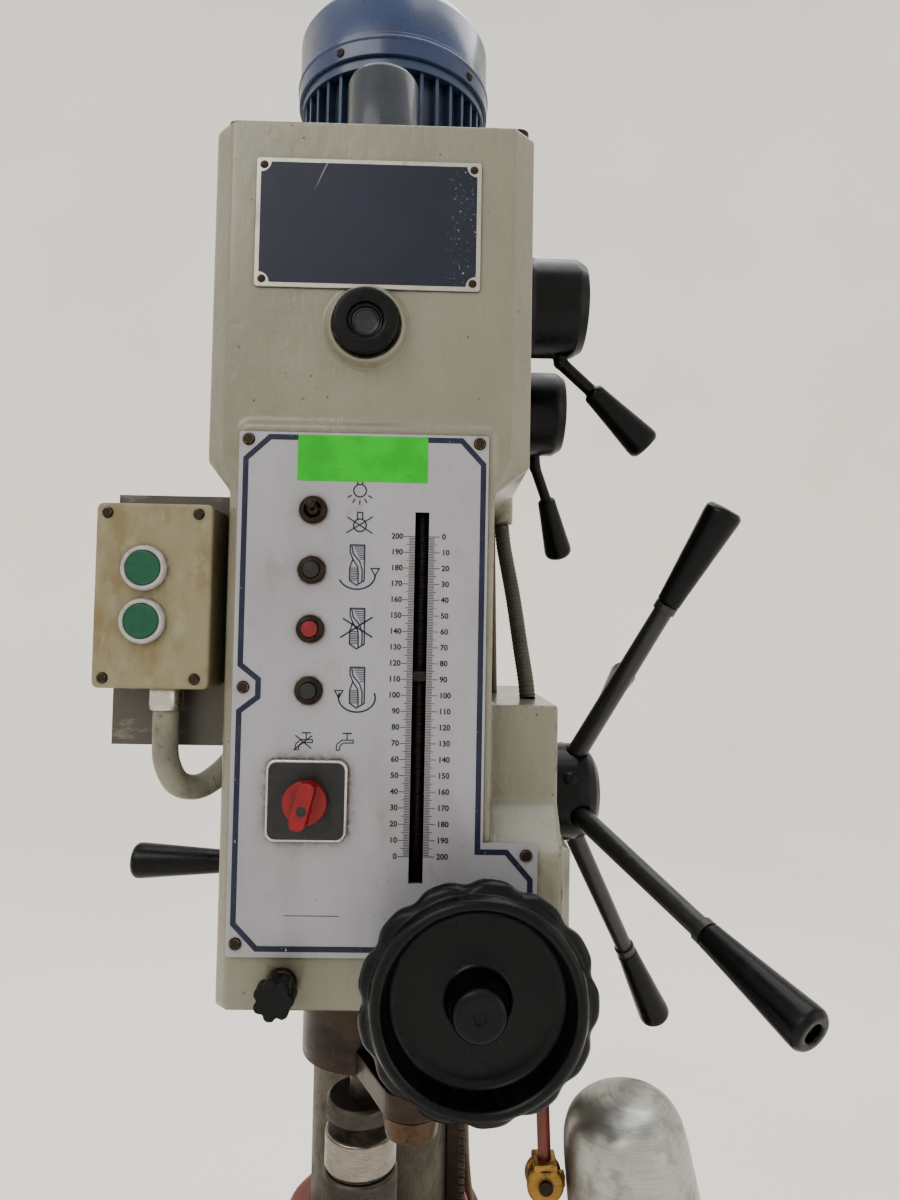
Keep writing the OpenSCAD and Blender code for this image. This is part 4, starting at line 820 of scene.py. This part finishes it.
def tap_sign(ink, x, z, crossed):
    ink.stroke([(x - 1.2, z + 5.2), (x + 4.6, z + 5.2)], 0.7)
    ink.stroke([(x + 1.7, z + 5.2), (x + 1.7, z + 1)], 0.6)
    ink.stroke([(x + 5.6, z - 0.8), (x + 5.6, z + 1), (x - 1.4, z + 1), (x - 4.6, z - 1.6), (x - 5, z - 5.4),
                (x - 3, z - 5.4), (x - 2.6, z - 2.4), (x - 0.6, z - 0.8)], 0.6, closed=True)
    if crossed:
        ink.stroke([(x - 6, z - 5.5), (x + 5.5, z + 3.5)], 0.7)
        ink.stroke([(x + 5, z - 4.5), (x - 5, z + 3.5)], 0.7)


def panel_signs():
    ink = Print(FACE_Y)
    lamp_sign(ink, -1.7, 1088.5, False)
    lamp_sign(ink, -1.3, 1068.0, True)
    drill_sign(ink, -2.5, 1041.5, 1)
    drill_sign(ink, -1.6, 1001.5, 0)
    drill_sign(ink, -0.8, 964.5, -1)
    tap_sign(ink, -33.5, 930.5, True)
    tap_sign(ink, -8.0, 930.5, False)
    ink.stroke([(-43, 823.0), (-9, 823.0)], 0.35)
    ink.made("panel_signs", NAVY_INK)
    front_prism("blank_label", rounded_box(-41.4, 40.9, 1094.2, 1123.4, 0.4), FACE_Y, FACE_Y - 0.14 * MM, LABEL,
                "root")


def button_rings():
    """Collars of the toggle and the three buttons, with the wall that each button slides in."""
    profile = rounded([(5.3, -8), (5.3, 3.9), (6.0, 4.2), (7.2, 3.4), (8.7, 2.2), (8.7, 0), (5.9, 0), (5.9, -8),
                       (5.3, -8)], 0.5)
    x, toggle_rise = FORWARD_BUTTON.x, 38 * MM
    for name in ("lamp_toggle", "forward_button", "stop_button", "reverse_button"):
        z = middle(name).z if name != "lamp_toggle" else FORWARD_BUTTON.z + toggle_rise
        turned(f"ring_{name}", profile, towards_viewer(x, FACE_Y, z), RING_RUST, "root", around=64)
        if name != "lamp_toggle":
            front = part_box(name)[0].y
            cap = [(0.01, 0.5), (2.2, 0.35), (3.6, 0.1), (4.2, 0.0), (4.2, -0.8), (0.01, -0.8)]
            turned(f"cap_{name}", cap, towards_viewer(x, front, z), NODES[name].data.materials[0], name,
                   around=48)


def switch_plate():
    """Square plate of the rotary switch with its bright rim and fine rays."""
    x, z = SWITCH.x / MM, SWITCH.z / MM
    front = FACE_Y - 5 * MM
    half = 25.2
    outer = rounded_box(x - half, x + half, z - half, z + half, 6)
    front_prism("switch_rim", outer, FACE_Y, front + 0.4 * MM, CHROME, "root",
                replaces=["control_bezels"], bevel=0.9 * MM)
    face = rounded_box(x - half + 1.6, x + half - 1.6, z - half + 1.6, z + half - 1.6, 5)
    front_prism("switch_face", face, FACE_Y - 4 * MM, front - 0.05 * MM, SWITCH_BLACK, "root",
                bevel=0.3 * MM)
    rays = Print(front - 0.05 * MM, 0.05)
    for k in range(60):
        a = math.radians(k * 6)
        if k % 15 not in (6, 7, 8):
            c, s = math.cos(a), math.sin(a)
            rays.stroke([(x + 15.5 * c, z + 15.5 * s), (x + (21.5 if k % 5 else 22.5) * c,
                                                       z + (21.5 if k % 5 else 22.5) * s)], 0.16)
    rays.made("switch_rays", BLACK_INK, "gloss_black")
    recess = [(0.01, 0.12), (2.4, 0.12), (2.9, 0.2), (3.1, 0.0), (3.1, -1), (0.01, -1)]
    knob_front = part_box("rotary_knob")[0].y
    turned("knob_screw_recess", recess, towards_viewer(SWITCH.x, knob_front, SWITCH.z - 2.5 * MM), SWITCH_BLACK,
           "rotary_knob", around=40)


def station_rings():
    """Broad satin collars of the two push-buttons and their slightly dished caps."""
    for name in ("station_upper_button", "station_lower_button"):
        centre, front = middle(name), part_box(name)[0].y
        box_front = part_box("station_box")[0].y
        profile = rounded([(11.25, 0), (14.5, 0), (14.5, 3.0), (13.6, 4.7), (12.2, 5.0), (11.25, 4.4), (11.25, 0)], 0.7)
        turned(f"collar_{name}", profile, towards_viewer(centre.x, box_front, centre.z), SATIN_RING, "root",
               around=96)
        cap = [(0.01, -0.35), (5, -0.2), (9.2, 0.15), (10.4, 0.2), (10.95, -0.4), (10.95, -2), (0.01, -2)]
        turned(f"dish_{name}", rounded(cap, 0.4), towards_viewer(centre.x, front, centre.z), GREEN_PLASTIC, name,
               around=96)


def lock_ring():
    profile = rounded([(5.3, 0), (9.4, 0), (9.4, 3.2), (8.2, 5), (5.3, 5), (5.3, 0)], 0.6)
    turned("lock_knob_ring", profile, towards_viewer(LOCK.x, FACE_Y + 2 * MM, LOCK.z), SCREW, "root",
           around=64)


def name_plate():
    """Silver-edged plate with a navy field cut away round its four rivets. Its lettering is left out."""
    x0, x1, z0, z1 = PLATE[0].x / MM, PLATE[1].x / MM, PLATE[0].z / MM, PLATE[1].z / MM
    back, front = PLATE[1].y, PLATE[1].y - 1.5 * MM
    front_prism("name_plate_sheet", rounded_box(x0, x1, z0, z1, 2.2), back, front, PLATE_EDGE, "root",
                replaces=["name_plate"], bevel=0.5 * MM)
    rim, bite = 3.0, 6.6
    field = []
    for cx, cz, start in ((x1 - rim, z0 + rim, 180), (x1 - rim, z1 - rim, 270), (x0 + rim, z1 - rim, 0),
                          (x0 + rim, z0 + rim, 90)):
        for k in range(9):
            a = math.radians(start - 90 * k / 8)
            field.append((cx + bite * math.cos(a), cz + bite * math.sin(a)))
    front_prism("name_plate_field", field, front + 0.5 * MM, front - 0.12 * MM, PLATE_NAVY, "root")
    rivet = rounded([(0.01, 1.25), (1.2, 1.15), (2.2, 0.5), (2.7, 0), (2.7, -0.4), (0.01, -0.4)], 0.4)
    for i, (x, z) in enumerate((x, z) for x in (x0 + 5, x1 - 5) for z in (z0 + 5, z1 - 5)):
        turned(f"name_plate_rivet_{i}", rivet, towards_viewer(x * MM, front, z * MM), SCREW, "root",
               around=32)


def sight_glass():
    """Black bezel screwed into its painted boss, with a dark oil lens."""
    boss_depth = 6 * MM
    place = towards_viewer(SIGHT.x, PLATE[1].y - boss_depth, SIGHT.z)
    bezel = rounded([(9, -6), (9, 6), (10.6, 6.4), (11.8, 9), (12.8, 9.6), (19.4, 9.6), (21, 8.2), (21, 0), (14, 0),
                     (12, -4), (9, -6)], 0.9)
    turned("sight_bezel", bezel, place, PHENOLIC, "root",
           replaces=["sight_glass"], around=128)
    rim = rounded([(21.3, -8), (21.3, 0.6), (22.8, 1.6), (24.4, 0.4), (26.8, -4.2), (28.6, -6), (28.6, -8)], 1.4)
    turned("sight_boss", rim, place, CREAM, "root", around=128)
    lens = rounded([(0.01, 4.6), (7.2, 4.6), (7.8, 5.6), (8.7, 5.6), (9.3, 4.6), (9.3, 0), (0.01, 0)], 0.5)
    turned("sight_lens", lens, place, LENS, "root", around=96)


# ---- Motor, handles, chuck, lamp and cables ----

def motor_band():
    """Clamp band round the cowl's lower rim, with its bead, gap and screw."""
    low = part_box("motor_cowl")[0].z / MM
    place = upright(MOTOR.x, MOTOR.y, 0)
    band = rounded([(85.6, low + 0.5), (87.0, low + 0.5), (87.1, low + 13.4), (88.0, low + 14.2), (88.0, low + 16.2),
                    (87.1, low + 17), (87, low + 20), (85.6, low + 20.6), (85.6, low + 0.5)], 0.5)
    turned("cowl_band", band, place, MOTOR_BLUE, "root", around=192)
    for i, degrees in enumerate((-118, -38, 62, 152)):
        a = math.radians(degrees)
        out = Vector((math.cos(a), math.sin(a), 0))
        at = Vector((MOTOR.x, MOTOR.y, (low + 7) * MM)) + out * 86.9 * MM
        turn = out.to_track_quat("Z", "Y").to_matrix().to_4x4()
        head = rounded([(0.01, 0.9), (1.2, 0.9), (1.3, 1.9), (2.9, 1.6), (3.7, 0.7), (3.7, 0), (0.01, 0)], 0.3)
        turned(f"cowl_screw_{i}", head, Matrix.Translation(at) @ turn, SCREW, "root", around=32)


def knurl(low, high, count, depth):
    """Crossed ridges between two heights, fading at both ends."""
    def relief(turn, _, height):
        if not low < height < high:
            return 0.0
        fade = min(1.0, (height - low) / 1.2, (high - height) / 1.2)
        lean = height / 25.0 * count
        a = math.cos(turn * count + lean)
        b = math.cos(turn * count - lean)
        return depth * fade * (max(a, -0.2) + max(b, -0.2) - 0.6)
    return relief


def lobes(turn, radius, _):
    """Thirteen broad lobes on the handwheel's rim, with short valleys between them."""
    share = min(1.0, max(0.0, (radius - 60) / 4))
    valley = (1 - math.cos(13 * turn)) / 2
    return share * (0.9 - 2.8 * valley ** 2.4)


def handwheel():
    """Dished wheel: domed hub with its screw recess, flat web, round lip and lobed rim."""
    profile = [(0.01, 45.2), (3.2, 45.2), (3.5, 46.5), (11.8, 46.6), (14.2, 45.4), (15.6, 42), (16.4, 34), (17.2, 26.4),
               (19.5, 23.9), (26, 23.4), (46, 22.6), (49.2, 24.2), (50.6, 29), (51.4, 35), (53, 39), (55.6, 40.4),
               (58.4, 39.2), (60, 36.2), (60.6, 33.4), (64, 32.2), (66, 29.4), (66, 25), (63.6, 21.4), (57, 19),
               (50, 19.4), (30, 15.4), (23, 11.6), (22, 9), (22, -13.4), (0.01, -13.4)]
    web_plane = -386 * MM
    turned("handwheel_moulding", ladder(rounded(profile, 1.6), 1.6), towards_viewer(WHEEL.x, web_plane, WHEEL.z),
           PHENOLIC, "fine_feed", replaces=["handwheel"], around=260, relief=lobes, sharp=60)


def ladder(profile, step):
    """The profile with extra points, so that no rung is longer than step mm."""
    made = []
    for a, b in zip(profile, profile[1:]):
        n = max(1, math.ceil((Vector(b) - Vector(a)).length / step))
        made += [tuple(Vector(a).lerp(Vector(b), k / n)) for k in range(n)]
    return made + [profile[-1]]


def chuck():
    """Keyless chuck: knurled upper ring and sleeve, three jaws left from the CAD body."""
    place = upright(SPINDLE.x, SPINDLE.y, 0)
    top = [(17, 660.4), (23.6, 660.4), (25.3, 658.6), (25.3, 648.2), (24, 647.2), (17, 647.2)]
    turned("chuck_top_ring", ladder(top, 0.55), place, CHUCK_STEEL, "spindle", around=480,
           relief=knurl(648.6, 658.2, 60, 0.26), sharp=60)
    band = [(17, 647.4), (24.1, 647.4), (24.1, 637), (17, 637)]
    turned("chuck_band", ladder(band, 2), place, CHUCK_BAND, "spindle", around=192)
    ring = rounded([(17, 637.2), (24.8, 637.2), (26.1, 635.8), (26.1, 613.2), (24.6, 610.8), (17, 610.8)], 0.8)
    turned("chuck_ring", ring, place, CHUCK_RING, "spindle", around=192)
    low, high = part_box("chuck_sleeve")
    radius = (high.x - low.x) / 2 / MM
    sleeve = [(19.2, 609.7), (radius - 1.6, 609.7), (radius + 0.1, 607.6), (radius + 0.1, 572),
              (radius - 5, 559.8), (18, 555.9), (13, 555.9), (12.9, 561.7)]
    turned("sleeve_grip", ladder(sleeve, 0.6), place, CHUCK_STEEL, "chuck_sleeve",
           replaces=["chuck_sleeve"], around=480, relief=knurl(574, 607, 60, 0.3), sharp=60)


def lamp():
    """Spun shade on its strap, with the bulb inside."""
    place = upright(SHADE_X * MM, LAMP_Y * MM, SHADE_TOP * MM) @ Matrix.Rotation(math.radians(SHADE_LEAN), 4, "Y")
    outer = rounded([(0.01, 0), (16, -1), (28, -5), (36, -12), (40.5, -22), (42.5, -36), (44.8, -72), (47, -107),
                     (47.4, -108)], 7)
    inner = [(46.2, -108), (43.5, -72), (41.1, -36), (39.2, -23), (35, -14), (27.5, -7.2), (16, -3.4), (0.01, -2.4)]
    turned("shade_shell", ladder(outer, 4) + inner, place, SHADE, "lamp_shade",
           replaces=["lamp_shade"], around=128, sharp=70)
    bulb = [(0.01, -82), (8, -80.5), (15, -76), (20, -69), (22, -60), (20.5, -51), (16, -44), (13.5, -38),
            (13.2, -30), (0.01, -30)]
    turned("lamp_bulb", bulb, place, GLASS, "lamp_shade", around=64, sharp=70)
    holder = rounded([(0.01, -3), (13, -3), (14, -6), (14, -28), (15, -30), (15, -36), (12, -38), (0.01, -38)], 0.8)
    turned("bulb_holder", holder, place, BLACK_ENAMEL, "lamp_shade", around=64)
    shade_side, eye_radius, half_width, half_thick = 143, 8, 4, 3.7
    eye = [(PIN_X - eye_radius * math.sin(math.radians(a)), PIN_Z - eye_radius * math.cos(math.radians(a)))
           for a in range(0, 181, 20)]
    strap = [(shade_side, PIN_Z - half_width), (PIN_X + 7, PIN_Z - half_width), *eye,
             (PIN_X + 7, PIN_Z + half_width), (shade_side, PIN_Z + half_width)]
    front_prism("shade_strap", strap[::-1], (LAMP_Y + half_thick) * MM, (LAMP_Y - half_thick) * MM, BRASS,
                "lamp_shade", bevel=0.8 * MM)


def knuckle_plates():
    """Brass ears and bridge at the foot of the lamp's tube."""
    tube = [(x, LAMP_Y, z) for x, z in ((124, 764), (124, 730), (127, 685), (PIN_X, 642))]
    swept("lamp_tube", tube, 4.5, LAMP_RED, "root", replaces=["lamp_arm"], steps=10)
    ear = rounded([(0.01, 0), (11.2, 0), (12.5, 1), (12.5, 4), (11.2, 5), (0.01, 5)], 0.6)
    back, front = LAMP_Y + 9, LAMP_Y - 9
    for i, y in enumerate((LAMP_Y - 4, back)):
        place = towards_viewer(PIN_X * MM, y * MM, PIN_Z * MM)
        turned(f"lamp_ear_{i}", ear, place, BRASS, "root", around=64)
    bridge = rounded_box(PIN_X - 8, PIN_X + 8, 637, 642, 1.2, 4)
    front_prism("lamp_bridge", bridge, back * MM, front * MM, BRASS, "root", bevel=0.6 * MM)
    pin = rounded([(0.01, 0), (3, 0), (4.6, 0.6), (4.6, 2.6), (3.4, 3), (0.01, 3)], 0.4)
    turned("lamp_pin_head", pin, towards_viewer(PIN_X * MM, front * MM, PIN_Z * MM), SCREW, "root",
           around=32)


def conduits():
    """Hoses that the machine holds at both ends, on the CAD routes."""
    station = [(-128, -330, 946), (-128, -330, 930), (-127, -329, 912), (-121, -323, 897), (-110, -312, 893),
               (-98, -302, 901), (-88, -292, 914)]
    swept("station_hose", station, 8.3, CONDUIT, "root", replaces=["conduits"], steps=8, sides=28)
    motor = [(100, -215, 1088), (102, -220, 1068), (108, -235, 1030), (113, -250, 990), (116, -262, 965),
             (117, -266, 952)]
    swept("motor_conduit", motor, 5.8, ARMOUR, "root", steps=48, sides=20, ridge=0.2, pitch=3.2)
    lamp_lead = [(93, -204, 1094), (94, -206, 1050), (95, -210, 1000), (96, -214, 952)]
    swept("lamp_lead", lamp_lead, 2.5, CABLE, "root", steps=12, sides=14)
    gland = rounded([(8.3, -0.1), (10.6, -0.1), (10.9, -3), (10.9, -11), (10.2, -14.8), (8.3, -14.8), (8.3, -0.1)], 0.6)
    turned("station_gland", gland, upright(-128 * MM, -330 * MM, 960.8 * MM), CHROME, "root",
           around=64)


def machine_cables():
    routes = {
        "cable_to_switchgear": ([(60, 68, 790), (62, 72, 740), (64, 78, 660), (63, 84, 560), (62, 86, 480),
                                 (66, 86, 425), (86, 88, 380), (110, 90, 330), (126, 94, 270), (130, 92, 200),
                                 (128, 90, 147)], 6),
        "cable_to_motor": ([(42, 80, 790), (43, 82, 740), (47, 90, 650), (52, 95, 550), (58, 98, 470),
                            (68, 100, 400), (84, 102, 350), (100, 100, 300), (110, 94, 230), (112, 89, 147)], 6),
        "cable_to_lamp": ([(74, 52, 790), (78, 58, 740), (84, 64, 650), (88, 68, 560), (91, 72, 470),
                           (94, 74, 400), (101, 74, 340), (110, 72, 280), (118, 70, 210), (120, 69, 147)], 5),
    }
    for i, (name, (route, radius)) in enumerate(routes.items()):
        swept(name, route, radius, CABLE, "root", replaces=[] if i else ["base_cables"], steps=10)


# ---- Stage, light and camera ----

def floor_and_backdrop():
    """One pale sheet that lies flat round the machine and curves up far behind it."""
    f = Finish("pale_sheet", colour(238, 235, 229), 0.85)
    f.paint(f.patches(0.35, 0.7, 0.9, 3), colour(232, 229, 222), 0.9)
    f.bump(f.noise(0.05, 3), 1 * MM, 0.2)
    flat, curve, top, below = 4000, 1500, 7500, 0.5
    profile = [(0.001, 0), (1500, 0), (3000, 0), (flat, 0)]
    profile += [(flat + curve * math.sin(math.radians(a)), curve - curve * math.cos(math.radians(a)))
                for a in range(10, 91, 10)]
    profile += [(flat + curve, 3200), (flat + curve, top)]
    around, points = 96, []
    for radius, height in profile:
        for k in range(around):
            a = 2 * math.pi * k / around
            points.append((radius * math.cos(a) * MM, radius * math.sin(a) * MM, (height - below) * MM))
    mesh = bpy.data.meshes.new("backdrop")
    mesh.from_pydata(points, [], rings_joined(len(profile), around))
    mesh.shade_smooth()
    mesh.materials.append(f.done(Emission_Color=colour(236, 233, 226), Emission_Strength=0.22))
    added("backdrop", mesh)


def area_light(name, at, target, size, power, tint=(1, 1, 1)):
    light = bpy.data.lights.new(name, "AREA")
    light.shape = "RECTANGLE"
    light.size, light.size_y = size
    light.energy = power
    light.color = tint
    made = added(name, light)
    made.location = at
    made.rotation_euler = (Vector(target) - Vector(at)).to_track_quat("-Z", "Y").to_euler()


def lighting():
    world = bpy.data.worlds.new("studio")
    bpy.context.scene.world = world
    world.use_nodes = True
    background = world.node_tree.nodes["Background"]
    background.inputs["Color"].default_value = (0.95, 0.97, 1.0, 1)
    background.inputs["Strength"].default_value = 0.72
    head = (0, -0.25, 1.1)
    area_light("key", (-1.5, -2.2, 3.1), head, (2.4, 1.6), 30, (1.0, 0.985, 0.96))
    area_light("overhead", (0.3, 0.3, 3.4), head, (2.2, 2.2), 30)
    area_light("fill", (2.6, -1.6, 1.3), head, (1.6, 2.0), 8, (0.95, 0.97, 1.0))


def camera():
    """Close to the panel, a little to the right of it, looking slightly up."""
    yaw, pitch, roll = (math.radians(a) for a in (1.13, 2.31, 1.03))
    forward = Vector((math.sin(yaw) * math.cos(pitch), math.cos(yaw) * math.cos(pitch), math.sin(pitch)))
    right = Vector((math.cos(yaw), -math.sin(yaw), 0))
    up = right.cross(forward)
    x = right * math.cos(roll) + up * math.sin(roll)
    y = up * math.cos(roll) - right * math.sin(roll)
    data = bpy.data.cameras.new("camera")
    data.sensor_width = 36
    data.lens = 24
    place = (46.5 * MM, FACE_Y - 504.2 * MM, 1.0)
    data.clip_start = 0.02
    made = added("camera", data)
    made.matrix_world = Matrix.Translation(place) @ Matrix((x, y, -forward)).transposed().to_4x4()
    bpy.context.scene.camera = made


camera()
conduits()
machine_cables()
finish_nodes()
panel_border()
depth_scale()
panel_signs()
button_rings()
switch_plate()
station_rings()
lock_ring()
name_plate()
sight_glass()
motor_band()
handwheel()
chuck()
knuckle_plates()
lamp()
floor_and_backdrop()
lighting()
bpy.context.scene.view_settings.view_transform = "AgX"
bpy.context.scene.view_settings.look = "AgX - Medium High Contrast"
